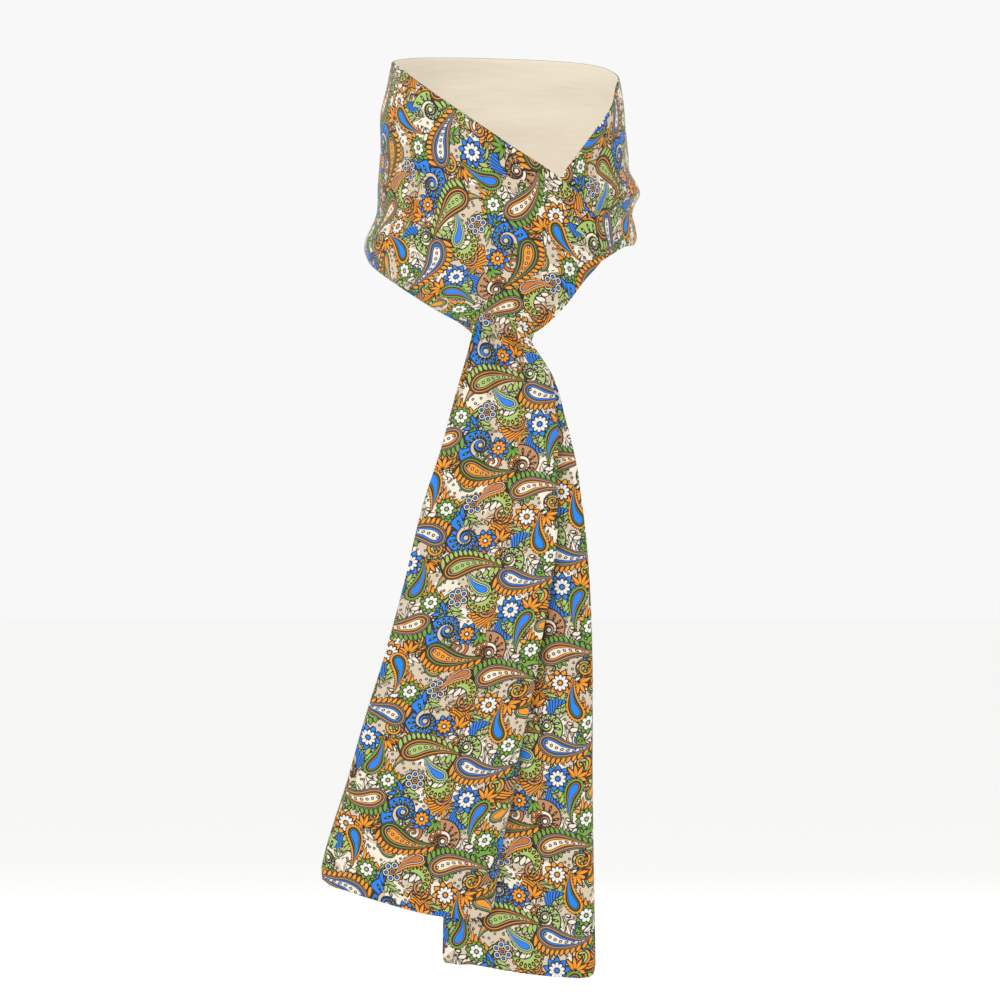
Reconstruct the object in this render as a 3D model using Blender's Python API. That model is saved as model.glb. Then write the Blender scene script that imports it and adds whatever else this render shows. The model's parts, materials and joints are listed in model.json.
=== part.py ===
"""Scarf-style necktie, tied in a loose knot with two square-ended tails, as worn round a neck.

Frame: metres, +Z up, the front of the wearer is -Y. The origin is the centre of the neck opening,
level with the base of the neck. The cloth is a turned two-ply tube, so every region has an outer
and an inner ply with the row of seam thread between them.
"""

import bpy
import numpy as np

MM = 0.001

# Cloth make-up, in millimetres
PLY = 0.5            # thickness of one ply
PLY_SPACING = 1.4    # between the mid-planes of the two plies
THREAD = 0.4         # side of a row of seam thread
SEAM_INSET = 4.0     # from the long edge to the row of thread

# Neck wrap: half width and half depth of the cloth at heights above the origin
WRAP_HEIGHTS = (-50, -30, 0, 15, 40, 70, 110)
WRAP_HALF_WIDTH = (79, 79, 79, 73, 71, 70, 64)
WRAP_HALF_DEPTH = (82, 78, 70, 68, 66, 64, 62)
BACK_TURNS_DEG = (90.6, 130, 180, 230, 269.4)
BACK_TOP = (98, 107, 112, 112, 108)
BACK_BOTTOM = (8, 10, 12, 8, 0)

# Swath that crosses the front, as corner-to-corner runs of (x, z)
SWATH_TOP_EDGE = ((-64, 108), (-18, 76), (31, 42), (50, 21), (57, 4))
SWATH_BOTTOM_EDGE = ((-79, 0), (-71, -11), (-55, -22), (-35, -35), (-18, -46))
SWATH_FOLD_EDGE = ((57, 4), (45, -17), (31, -34), (15, -47))

# Strand that comes down the other side, beneath the swath
STRAND_INNER_EDGE = ((65.5, 98), (51, 70), (31, 43), (12, 16), (-8, -12))
STRAND_OUTER_EDGE = ((76, 8), (72, 2), (58, -4), (38, -18), (18, -29))
STRAND_HEIGHTS = (-50, 8, 98)
STRAND_HALF_WIDTH = (76, 76, 65.5)
STRAND_BEHIND = 4.5

# The end of the swath turned back round the strand
TURN_UPPER_EDGE = ((50, 6), (30, 8), (10, 2), (-12, -10))
TURN_LOWER_EDGE = ((38, -20), (28, -25), (18, -28), (8, -29))
TURN_BEHIND = 10.0

# Knot
KNOT_Y = -66
KNOT_TOP, KNOT_BOTTOM = -32, -53.5
KNOT_HALF_WIDTH, KNOT_HALF_DEPTH, KNOT_WALL = 17, 9, 3
CORE_GAP = 0.6
TONGUE_TOP, TONGUE_THICKNESS = -34, 2.4
TONGUE_LEFT, TONGUE_RIGHT = -20, 15

# Tails: the swing centre, the arc where each leaves the gathers, and the lines they fold on
SWING_X, SWING_Z, SWING_RADIUS = -1, -40, 34
THROAT_TOP = -55.5
FOLD_Z = (-150, -262)
FOLD_GAP = 0.4
ARC_GAP = 0.5
TAIL_HEIGHTS = (-55, -150, -262, -410)
FRONT_TAIL_Y = (-86, -106, -114, -117)
TAIL_SPACING = 6.0   # from the front tail's mid-plane back to the rear tail's
FRONT_LEFT = ((-55, -20), (-84, -29), (-140, -45), (-229, -68), (-296, -88), (-360, -104))
FRONT_RIGHT = ((-55, 17), (-66, 25), (-88, 28.5), (-150, 29.5), (-200, 24), (-262, 13), (-372, -8))
FRONT_CUT = ((0, -354), (0.06, -358), (0.35, -365), (0.75, -373), (0.95, -373.5), (1, -370))
REAR_LEFT = ((-55, -12), (-120, -20), (-407, -35))
REAR_RIGHT = ((-55, 17), (-78, 29), (-110, 38), (-153, 44.5), (-230, 49), (-407, 50.5))
REAR_CUT = ((0, -399), (0.2, -400), (0.6, -404), (0.94, -407), (1, -404))
REAR_BEND_ROWS = (-150, -262)

# Care label on the back of the rear tail
LABEL_WIDTH, LABEL_HEIGHT, LABEL_THICKNESS, LABEL_Z = 32, 18, 0.35, -330


def make_material(name, colour, roughness):
    """One cloth or thread finish."""
    material = bpy.data.materials.new(name)
    material.use_nodes = True
    shader = material.node_tree.nodes["Principled BSDF"]
    shader.inputs["Base Color"].default_value = (*colour, 1.0)
    shader.inputs["Roughness"].default_value = roughness
    return material


def add_object(name, points, faces, material):
    """A mesh object from points in millimetres, its faces turned to point outwards."""
    points = np.asarray(points, float) * MM
    volume = 0.0
    for face in faces:
        first = points[face[0]]
        for b, c in zip(face[1:-1], face[2:]):
            volume += np.dot(first, np.cross(points[b], points[c]))
    if volume < 0:
        faces = [face[::-1] for face in faces]
    mesh = bpy.data.meshes.new(name)
    mesh.from_pydata([tuple(p) for p in points], [], faces)
    mesh.materials.append(material)
    item = bpy.data.objects.new(name, mesh)
    bpy.context.scene.collection.objects.link(item)
    return item


def grid_normals(grid):
    """Unit normals of a grid of points."""
    along = np.gradient(grid, axis=0)
    across = np.gradient(grid, axis=1)
    normals = np.cross(along, across)
    return normals / np.linalg.norm(normals, axis=2, keepdims=True)


def add_sheet(name, grid, thickness, material, offset=0.0):
    """A closed sheet of even thickness about a grid, moved along the grid's normals by offset."""
    normals = grid_normals(grid)
    rows, columns = grid.shape[:2]
    size = rows * columns
    upper = grid + normals * (offset + thickness / 2)
    lower = grid + normals * (offset - thickness / 2)
    points = np.concatenate([upper.reshape(-1, 3), lower.reshape(-1, 3)])
    index = np.arange(size).reshape(rows, columns)
    faces = []
    for r in range(rows - 1):
        for c in range(columns - 1):
            a, b = index[r, c], index[r, c + 1]
            d, e = index[r + 1, c + 1], index[r + 1, c]
            faces += [(a, b, d), (a, d, e)]
            faces += [(d + size, b + size, a + size), (e + size, d + size, a + size)]
    rim = list(index[0, :]) + list(index[1:, -1])
    rim += list(index[-1, -2::-1]) + list(index[-2:0:-1, 0])
    for a, b in zip(rim, rim[1:] + rim[:1]):
        faces += [(b, a, a + size), (b, a + size, b + size)]
    return add_object(name, points, [tuple(int(i) for i in f) for f in faces], material)


def add_thread(name, line, across, material):
    """A row of seam thread along a line of points, with a square section."""
    line = np.asarray(line, float)
    along = np.gradient(line, axis=0)
    along /= np.linalg.norm(along, axis=1, keepdims=True)
    side = np.asarray(across, float)
    side = side - along * np.sum(side * along, axis=1, keepdims=True)
    side /= np.linalg.norm(side, axis=1, keepdims=True)
    up = np.cross(along, side)
    corners = ((-1, -1), (1, -1), (1, 1), (-1, 1))
    rings = [line + (side * i + up * j) * THREAD / 2 for i, j in corners]
    points = np.stack(rings, axis=1).reshape(-1, 3)
    faces = [(3, 2, 1, 0)]
    for r in range(len(line) - 1):
        for k in range(4):
            a, b = 4 * r + k, 4 * r + (k + 1) % 4
            faces.append((a, b, b + 4, a + 4))
    last = 4 * (len(line) - 1)
    faces.append((last, last + 1, last + 2, last + 3))
    return add_object(name, points, faces, material)


def add_two_plies(name, grid, cloth, backing, outward):
    """The outer and inner ply of one region. outward is +1 if the grid's normals face out."""
    shift = outward * PLY_SPACING / 2
    add_sheet(name + "_outer_ply", grid, PLY, cloth, shift)
    add_sheet(name + "_inner_ply", grid, PLY, backing, -shift)


def run(points, share):
    """Positions along a run of points at shares 0 to 1 of its length."""
    points = np.asarray(points, float)
    steps = np.linalg.norm(np.diff(points, axis=0), axis=1)
    at = np.concatenate([[0], np.cumsum(steps)]) / steps.sum()
    return np.stack([np.interp(share, at, points[:, k]) for k in range(points.shape[1])], axis=-1)


def wrap_y(x, z, half_width, behind=0.0):
    """Depth of cloth lying on the neck, at the front, this far behind the outermost layer."""
    depth = np.interp(z, WRAP_HEIGHTS, WRAP_HALF_DEPTH) - behind
    inside = np.clip(1 - (x / half_width) ** 2, 0, None)
    return -depth * np.sqrt(inside)


def level(table, z):
    """A tail's edge position at height z, from its table of (height, position)."""
    heights, positions = zip(*sorted(table))
    return np.interp(z, heights, positions)


def shares_with_seam(count, height):
    """Even shares from 0 to 1 with one more just before the end, where the row of seam thread runs."""
    shares = np.linspace(0, 1, count)
    return np.insert(shares, count - 1, 1 - SEAM_INSET / height)


def dense_at_side(count):
    """Shares from 0 to 1 that are close together at the side of the neck, where the cloth turns."""
    return np.linspace(0, 1, count) ** 1.7


def swath_grid(down, columns):
    """Rows run from the top edge to the bottom edge, columns from the side of the neck to the fold."""
    share = dense_at_side(columns)
    top = run(SWATH_TOP_EDGE, share)
    low = run(SWATH_BOTTOM_EDGE, share)
    fold = run(SWATH_FOLD_EDGE + (SWATH_BOTTOM_EDGE[-1],), down)
    side_z = SWATH_TOP_EDGE[0][1] + (SWATH_BOTTOM_EDGE[0][1] - SWATH_TOP_EDGE[0][1]) * down
    side = np.stack([-np.interp(side_z, WRAP_HEIGHTS, WRAP_HALF_WIDTH), side_z], axis=1)
    v = down[:, None, None]
    u = share[None, :, None]
    plane = (1 - v) * top[None] + v * low[None] + (1 - u) * side[:, None] + u * fold[:, None]
    plane -= (1 - v) * (1 - u) * top[0] + (1 - v) * u * top[-1]
    plane -= v * (1 - u) * low[0] + v * u * low[-1]
    x, z = plane[..., 0], plane[..., 1]
    left = np.interp(z, WRAP_HEIGHTS, WRAP_HALF_WIDTH)
    half_width = np.where(x < 0, np.maximum(left, -x), WRAP_HALF_WIDTH[0])
    return np.stack([x, wrap_y(x, z, half_width), z], axis=-1)


def between_edges(first, second, rows, shares, behind):
    """A strip between two edges, laid on the neck."""
    a, b = run(first, shares), run(second, shares)
    v = np.linspace(0, 1, rows)[:, None, None]
    plane = (1 - v) * a[None] + v * b[None]
    x, z = plane[..., 0], plane[..., 1]
    half_width = np.maximum(np.interp(z, STRAND_HEIGHTS, STRAND_HALF_WIDTH), x)
    return np.stack([x, wrap_y(x, z, half_width, behind), z], axis=-1)


def back_grid(down, columns):
    """The part of the wrap behind the neck, from one side round to the other."""
    degrees = np.linspace(BACK_TURNS_DEG[0], BACK_TURNS_DEG[-1], columns)
    turn = np.radians(degrees)[None, :]
    top = np.interp(degrees, BACK_TURNS_DEG, BACK_TOP)[None, :]
    bottom = np.interp(degrees, BACK_TURNS_DEG, BACK_BOTTOM)[None, :]
    z = top + (bottom - top) * down[:, None]
    half_width = np.interp(z, WRAP_HEIGHTS, WRAP_HALF_WIDTH)
    half_depth = np.interp(z, WRAP_HEIGHTS, WRAP_HALF_DEPTH)
    x, y = half_width * np.sin(turn), -half_depth * np.cos(turn)
    return np.stack([x, y, z], axis=-1)


def tail_y(z, behind):
    """Depth of a tail's mid-plane at height z."""
    heights, depths = zip(*sorted(zip(TAIL_HEIGHTS, FRONT_TAIL_Y)))
    return np.interp(z, heights, depths) + behind


def arc_z(x, radius):
    """Height of the arc about the swing centre, below it."""
    aside = np.clip(x - SWING_X, -0.85 * radius, 0.85 * radius)
    return SWING_Z - np.sqrt(radius**2 - aside**2)


def tail_grid(left, right, top, bottom, behind, rows, columns):
    """A tail between two heights. top and bottom give the height for a position x and a share s."""
    s = np.linspace(0, 1, columns)
    nominal_top, nominal_bottom = top(0.0, 0.5), bottom(0.0, 0.5)
    heights = nominal_top + (nominal_bottom - nominal_top) * np.asarray(rows)
    grid = np.zeros((len(rows), columns, 3))
    for r, height in enumerate(heights):
        x = level(left, height) + (level(right, height) - level(left, height)) * s
        z = np.full(columns, height)
        for k in range(columns):
            start, end = top(x[k], s[k]), bottom(x[k], s[k])
            z[k] = start + (end - start) * rows[r]
        grid[r] = np.stack([x, tail_y(z, behind), z], axis=-1)
    return grid


def fixed(z):
    """An edge at one height."""
    return lambda x, s: z


def arc(radius):
    """An edge along the arc about the swing centre."""
    return lambda x, s: float(arc_z(x, radius))


def cut(table):
    """The end of a tail, as heights at shares of its width."""
    shares, heights = zip(*table)
    return lambda x, s: float(np.interp(s, shares, heights))


def edge_line(grid, column_share, row_from, row_to, inset):
    """A line down a tail grid this far in from one of its long edges."""
    rows = range(row_from, row_to)
    line = []
    for r in rows:
        a, b = grid[r, 0], grid[r, -1]
        if column_share > 0.5:
            a, b = b, a
        line.append(a + (b - a) / np.linalg.norm(b - a) * inset)
    return np.array(line)


def end_line(grid, share, inset):
    """A line across a tail grid this far above its last row."""
    down = grid[-1] - grid[-2]
    down /= np.linalg.norm(down, axis=1, keepdims=True)
    return (grid[-1] - down * inset)[share:-share]


def add_ring(name, half_width, half_depth, wall, top, bottom, material, sides=28):
    """An upright oval ring with rounded-off rims."""
    turn = np.linspace(0, 2 * np.pi, sides, endpoint=False)
    unit = np.stack([np.cos(turn), np.sin(turn)], axis=1)
    soft = wall * 0.3
    outline = (
        (0, top - soft), (soft, top), (wall - soft, top), (wall, top - soft),
        (wall, bottom + soft), (wall - soft, bottom), (soft, bottom), (0, bottom + soft),
    )
    points = []
    for inset, z in outline:
        ring = unit * (half_width - inset, half_depth - inset)
        points += [(x, KNOT_Y + y, z) for x, y in ring]
    faces = []
    count = len(outline)
    for k in range(count):
        for i in range(sides):
            j, n = (i + 1) % sides, (k + 1) % count
            faces.append((k * sides + i, k * sides + j, n * sides + j, n * sides + i))
    return add_object(name, points, faces, material)


def add_oval_plug(name, half_width, half_depth, top, bottom, material, sides=20):
    """The gathered strand inside the knot: an oval plug, softer at its ends."""
    turn = np.linspace(0, 2 * np.pi, sides, endpoint=False)
    unit = np.stack([np.cos(turn), np.sin(turn)], axis=1)
    levels = ((1.5, top), (0, top - 2), (0, bottom + 2), (1.5, bottom))
    points = []
    for inset, z in levels:
        ring = unit * (half_width - inset, half_depth - inset)
        points += [(x, KNOT_Y + y, z) for x, y in ring]
    faces = [tuple(range(sides)), tuple(range(4 * sides - 1, 3 * sides - 1, -1))]
    for k in range(3):
        for i in range(sides):
            j = (i + 1) % sides
            faces.append((k * sides + j, k * sides + i, (k + 1) * sides + i, (k + 1) * sides + j))
    return add_object(name, points, faces, material)


def build_neck_loop(cloth, backing, thread):
    """Everything that goes round the neck."""
    back = back_grid(shares_with_seam(6, max(BACK_TOP)), 21)
    add_two_plies("neck_back", back, cloth, backing, 1)
    add_thread("neck_back_seam_thread", back[-2, 1:-1], (back[-2] - back[-1])[1:-1], thread)

    swath = swath_grid(shares_with_seam(9, SWATH_TOP_EDGE[0][1]), 15)
    add_two_plies("front_swath", swath, cloth, backing, 1)
    up = swath[-2] - swath[-1]
    add_thread("front_swath_seam_thread", swath[-2, 1:-3], up[1:-3], thread)

    shares = dense_at_side(13)
    strand = between_edges(STRAND_INNER_EDGE, STRAND_OUTER_EDGE, 8, shares, STRAND_BEHIND)
    add_two_plies("side_strand", strand, cloth, backing, -1)

    shares = np.linspace(0, 1, 8)
    turn = between_edges(TURN_UPPER_EDGE, TURN_LOWER_EDGE, 5, shares, TURN_BEHIND)
    add_sheet("swath_turned_end", turn, PLY * 2, backing)

    add_oval_plug(
        "strand_inside_knot",
        KNOT_HALF_WIDTH - KNOT_WALL - CORE_GAP,
        KNOT_HALF_DEPTH - KNOT_WALL - CORE_GAP,
        KNOT_TOP + 1,
        KNOT_BOTTOM + 1,
        cloth,
    )


def build_knot(cloth):
    """The turn that holds the strand, and the tongue where the front tail comes out over it."""
    add_ring(
        "knot_turn", KNOT_HALF_WIDTH, KNOT_HALF_DEPTH, KNOT_WALL, KNOT_TOP, KNOT_BOTTOM, cloth
    )
    s = np.linspace(0, 1, 9)
    v = np.linspace(0, 1, 5)
    grid = np.zeros((len(v), len(s), 3))
    middle = (TONGUE_LEFT + TONGUE_RIGHT) / 2
    half = (TONGUE_RIGHT - TONGUE_LEFT) / 2
    for k, share in enumerate(s):
        across = 2 * share - 1
        crown = TONGUE_TOP - 9 * across**2
        z = crown + (KNOT_BOTTOM - crown) * v
        x = middle + across * half * (0.9 + 0.1 * v)
        grid[:, k] = np.stack([x, np.full(len(v), FRONT_TAIL_Y[0]), z], axis=-1)
    add_sheet("knot_tongue", grid, TONGUE_THICKNESS, cloth)


def build_front_tail(cloth, backing, thread):
    """The tail that lies on top, in the three pieces it folds into below its gathers."""
    rows = np.linspace(0, 1, 5)
    throat = tail_grid(
        FRONT_LEFT, FRONT_RIGHT, fixed(THROAT_TOP), arc(SWING_RADIUS), 0, rows, 11
    )
    add_sheet("front_tail_gathers", throat, 3.0, cloth)
    gap = FOLD_GAP / 2
    spans = (
        ("front_tail_top", arc(SWING_RADIUS + ARC_GAP), fixed(FOLD_Z[0] + gap)),
        ("front_tail_middle", fixed(FOLD_Z[0] - gap), fixed(FOLD_Z[1] + gap)),
        ("front_tail_end", fixed(FOLD_Z[1] - gap), cut(FRONT_CUT)),
    )
    for name, top, bottom in spans:
        grid = tail_grid(FRONT_LEFT, FRONT_RIGHT, top, bottom, 0, np.linspace(0, 1, 7), 11)
        add_two_plies(name, grid, cloth, backing, 1)
        line = edge_line(grid, 0, 0, 7, SEAM_INSET)[1:-1]
        add_thread(name + "_seam_thread", line, np.tile((1.0, 0, 0), (len(line), 1)), thread)
        if name == "front_tail_end":
            line = end_line(grid, 1, SEAM_INSET)
            add_thread("front_tail_hem_thread", line, np.tile((0, 0, 1.0), (len(line), 1)), thread)


def build_rear_tail(cloth, backing, thread, label):
    """The tail that hangs behind, with its label."""
    rows = np.linspace(0, 1, 5)
    throat = tail_grid(
        REAR_LEFT, REAR_RIGHT, fixed(THROAT_TOP), arc(SWING_RADIUS), TAIL_SPACING, rows, 11
    )
    add_sheet("rear_tail_gathers", throat, 2.4, cloth)
    top, bottom = arc(SWING_RADIUS + ARC_GAP), cut(REAR_CUT)
    start, end = top(0.0, 0.5), bottom(0.0, 0.5)
    bends = [(z - start) / (end - start) for z in REAR_BEND_ROWS]
    rows = sorted([0, 0.08, 0.16, *bends, 0.4, 0.72, 0.86, 1])
    grid = tail_grid(REAR_LEFT, REAR_RIGHT, top, bottom, TAIL_SPACING, rows, 11)
    add_two_plies("rear_tail", grid, cloth, backing, 1)
    line = edge_line(grid, 0, 0, len(rows), SEAM_INSET)[1:-1]
    add_thread("rear_tail_seam_thread", line, np.tile((1.0, 0, 0), (len(line), 1)), thread)
    line = end_line(grid, 1, SEAM_INSET)
    add_thread("rear_tail_hem_thread", line, np.tile((0, 0, 1.0), (len(line), 1)), thread)

    proud = PLY_SPACING / 2 + PLY / 2 + 0.3
    x = np.linspace(-LABEL_WIDTH / 2, LABEL_WIDTH / 2, 3) + 8
    z = np.linspace(LABEL_Z + LABEL_HEIGHT / 2, LABEL_Z - LABEL_HEIGHT / 2, 3)
    patch = np.zeros((3, 3, 3))
    for r in range(3):
        for c in range(3):
            patch[r, c] = (x[c], float(tail_y(z[r], TAIL_SPACING)) + proud + LABEL_THICKNESS / 2, z[r])
    add_sheet("care_label", patch, LABEL_THICKNESS, label)
    over = patch[0] + np.array((0, LABEL_THICKNESS / 2 + THREAD / 2 + 0.3, -2.0))
    over[:, 0] = (x - 8) * 0.9 + 8
    add_thread("care_label_thread", over, np.tile((0, 0, 1.0), (3, 1)), thread)


def main():
    """Clear the scene and build every piece."""
    for item in list(bpy.data.objects):
        bpy.data.objects.remove(item, do_unlink=True)
    cloth = make_material("printed_cloth", (0.52, 0.36, 0.17), 0.55)
    backing = make_material("lining_cloth", (0.78, 0.71, 0.60), 0.6)
    thread = make_material("sewing_thread", (0.60, 0.45, 0.26), 0.6)
    label = make_material("label_tape", (0.85, 0.83, 0.78), 0.6)
    build_neck_loop(cloth, backing, thread)
    build_knot(cloth)
    build_front_tail(cloth, backing, thread)
    build_rear_tail(cloth, backing, thread, label)


main()
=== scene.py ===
"""Looks of a scarf-style necktie: a printed cloth tube, tied in one loose turn round a neck.

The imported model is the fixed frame. Every region of cloth is built here as a fine closed sheet that
stands for its two plies and the seam thread between them, and all of them share one printed cloth.
Lengths are millimetres in the tables and are turned to metres where a mesh is made.
"""

from __future__ import annotations

import json
import logging
import math
from dataclasses import dataclass, field
from enum import Enum
from typing import Callable

import bpy
import numpy as np
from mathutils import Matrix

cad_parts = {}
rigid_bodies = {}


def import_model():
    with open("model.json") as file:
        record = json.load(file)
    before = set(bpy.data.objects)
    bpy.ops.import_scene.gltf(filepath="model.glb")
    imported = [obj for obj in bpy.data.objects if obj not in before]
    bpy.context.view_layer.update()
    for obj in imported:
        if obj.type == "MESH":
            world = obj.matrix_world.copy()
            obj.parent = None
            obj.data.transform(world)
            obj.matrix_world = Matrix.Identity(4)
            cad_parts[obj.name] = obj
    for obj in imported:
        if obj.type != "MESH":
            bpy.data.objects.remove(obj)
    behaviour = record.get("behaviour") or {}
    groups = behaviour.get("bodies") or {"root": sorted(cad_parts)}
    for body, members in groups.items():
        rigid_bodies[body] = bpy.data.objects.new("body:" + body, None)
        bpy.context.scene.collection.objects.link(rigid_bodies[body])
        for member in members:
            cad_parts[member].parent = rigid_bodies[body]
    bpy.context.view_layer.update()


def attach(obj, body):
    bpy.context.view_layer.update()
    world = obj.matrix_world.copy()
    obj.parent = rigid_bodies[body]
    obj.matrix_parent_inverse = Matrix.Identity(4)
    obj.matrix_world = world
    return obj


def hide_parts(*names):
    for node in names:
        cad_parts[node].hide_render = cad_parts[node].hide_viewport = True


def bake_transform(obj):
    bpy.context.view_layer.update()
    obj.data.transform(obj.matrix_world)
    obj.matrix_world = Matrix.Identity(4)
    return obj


MM = 0.001
CLOTH_WIDTH = 100.0
# Both plies with the air between them.
CLOTH_THICKNESS = 1.3
# A turned edge is pressed thin: its share of the full thickness, and how far in it reaches.
EDGE_SHARE = 0.3
EDGE_REACH = 1.4
# Length of a grid cell along a tail.
GRID_STEP = 2.2
# Length of one wave of a wave texture of scale 1, with straight bands and with slanting ones.
STRAIGHT_WAVE = math.tau / 20
SLANTING_WAVE = math.tau / 10
PRINT_MAP = "Print"

Stations = tuple[tuple[float, float], ...]
Colour = bpy.types.NodeSocket | tuple[float, float, float, float]
Inks = tuple["Dye", "Dye", "Dye"]
LOG = logging.getLogger("necktie")


def linear(hex_colour: str) -> tuple[float, float, float, float]:
    """Turn an sRGB hex colour into linear light.

    Args:
        hex_colour: Six hex digits.

    Returns:
        Red, green, blue and an alpha of 1.
    """
    parts = [int(hex_colour[i : i + 2], 16) / 255 for i in (0, 2, 4)]
    light = [c / 12.92 if c <= 0.04045 else ((c + 0.055) / 1.055) ** 2.4 for c in parts]
    return (light[0], light[1], light[2], 1.0)


def add_node(
    tree: bpy.types.NodeTree,
    kind: str,
    settings: dict[str, object],
    inputs: dict[int | str, object],
) -> bpy.types.Node:
    """Add one node to a tree.

    Args:
        tree: The tree that gets the node.
        kind: The node's type, without its "ShaderNode" prefix.
        settings: Attributes to set on the node.
        inputs: Input name or number to a value, a socket or a Field.

    Returns:
        The node.
    """
    node = tree.nodes.new("ShaderNode" + kind)
    for name, value in settings.items():
        setattr(node, name, value)
    for name, value in inputs.items():
        if isinstance(value, Field):
            value = value.socket
        if isinstance(value, bpy.types.NodeSocket):
            tree.links.new(value, node.inputs[name])
        else:
            node.inputs[name].default_value = value
    return node


@dataclass(frozen=True)
class Field:
    """A number that varies over the cloth, written as arithmetic and kept as math nodes."""

    tree: bpy.types.NodeTree
    socket: bpy.types.NodeSocket

    def do(self, operation: str, *others: Field | float, clamp: bool = False) -> Field:
        """Combine this number with others.

        Args:
            operation: The math operation.
            *others: Its second and third operands.
            clamp: Whether the result is held between 0 and 1.

        Returns:
            The result.
        """
        settings = {"operation": operation, "use_clamp": clamp, "hide": True}
        inputs = dict(enumerate((self, *others)))
        return Field(self.tree, add_node(self.tree, "Math", settings, inputs).outputs[0])

    def __add__(self, other: Field | float) -> Field:
        """Sum."""
        return self.do("ADD", other)

    def __sub__(self, other: Field | float) -> Field:
        """Difference."""
        return self.do("SUBTRACT", other)

    def __mul__(self, other: Field | float) -> Field:
        """Product."""
        return self.do("MULTIPLY", other)

    def __truediv__(self, other: Field | float) -> Field:
        """Quotient."""
        return self.do("DIVIDE", other)

    def size(self) -> Field:
        """Absolute value."""
        return self.do("ABSOLUTE")

    def wave(self) -> Field:
        """Cosine."""
        return self.do("COSINE")

    def under(self, edge: Field | float, soft: float) -> Field:
        """Where this number is below an edge: 1 inside, 0 outside, with a short ramp between.

        Args:
            edge: The edge.
            soft: The ramp's width.

        Returns:
            The mask.
        """
        return (self - edge).do("MULTIPLY_ADD", -1.0 / soft, 0.5, clamp=True)

    def both(self, other: Field | float) -> Field:
        """Distance to what two shapes have in common."""
        return self.do("MAXIMUM", other)


class Dye(Enum):
    """Inks of the print, as sRGB hex."""

    AZURE = "2585EC"
    ORANGE = "F39A26"
    RUST = "C9733A"
    TAN = "BE8B62"
    ECRU = "D6C5AB"
    CREAM = "F2E7D2"
    GREEN = "74A43D"
    LEAF = "A9C668"
    WHITE = "EFEDE8"
    OUTLINE = "2B1E17"


@dataclass(frozen=True)
class Spot:
    """Place within one figure's own field, in millimetres from its middle."""

    x: Field
    y: Field

    def reach(self) -> Field:
        """Distance from the middle."""
        return (self.x * self.x + self.y * self.y).do("SQRT")

    def turn(self) -> Field:
        """Angle about the middle."""
        return self.x.do("ARCTAN2", self.y)


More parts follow.
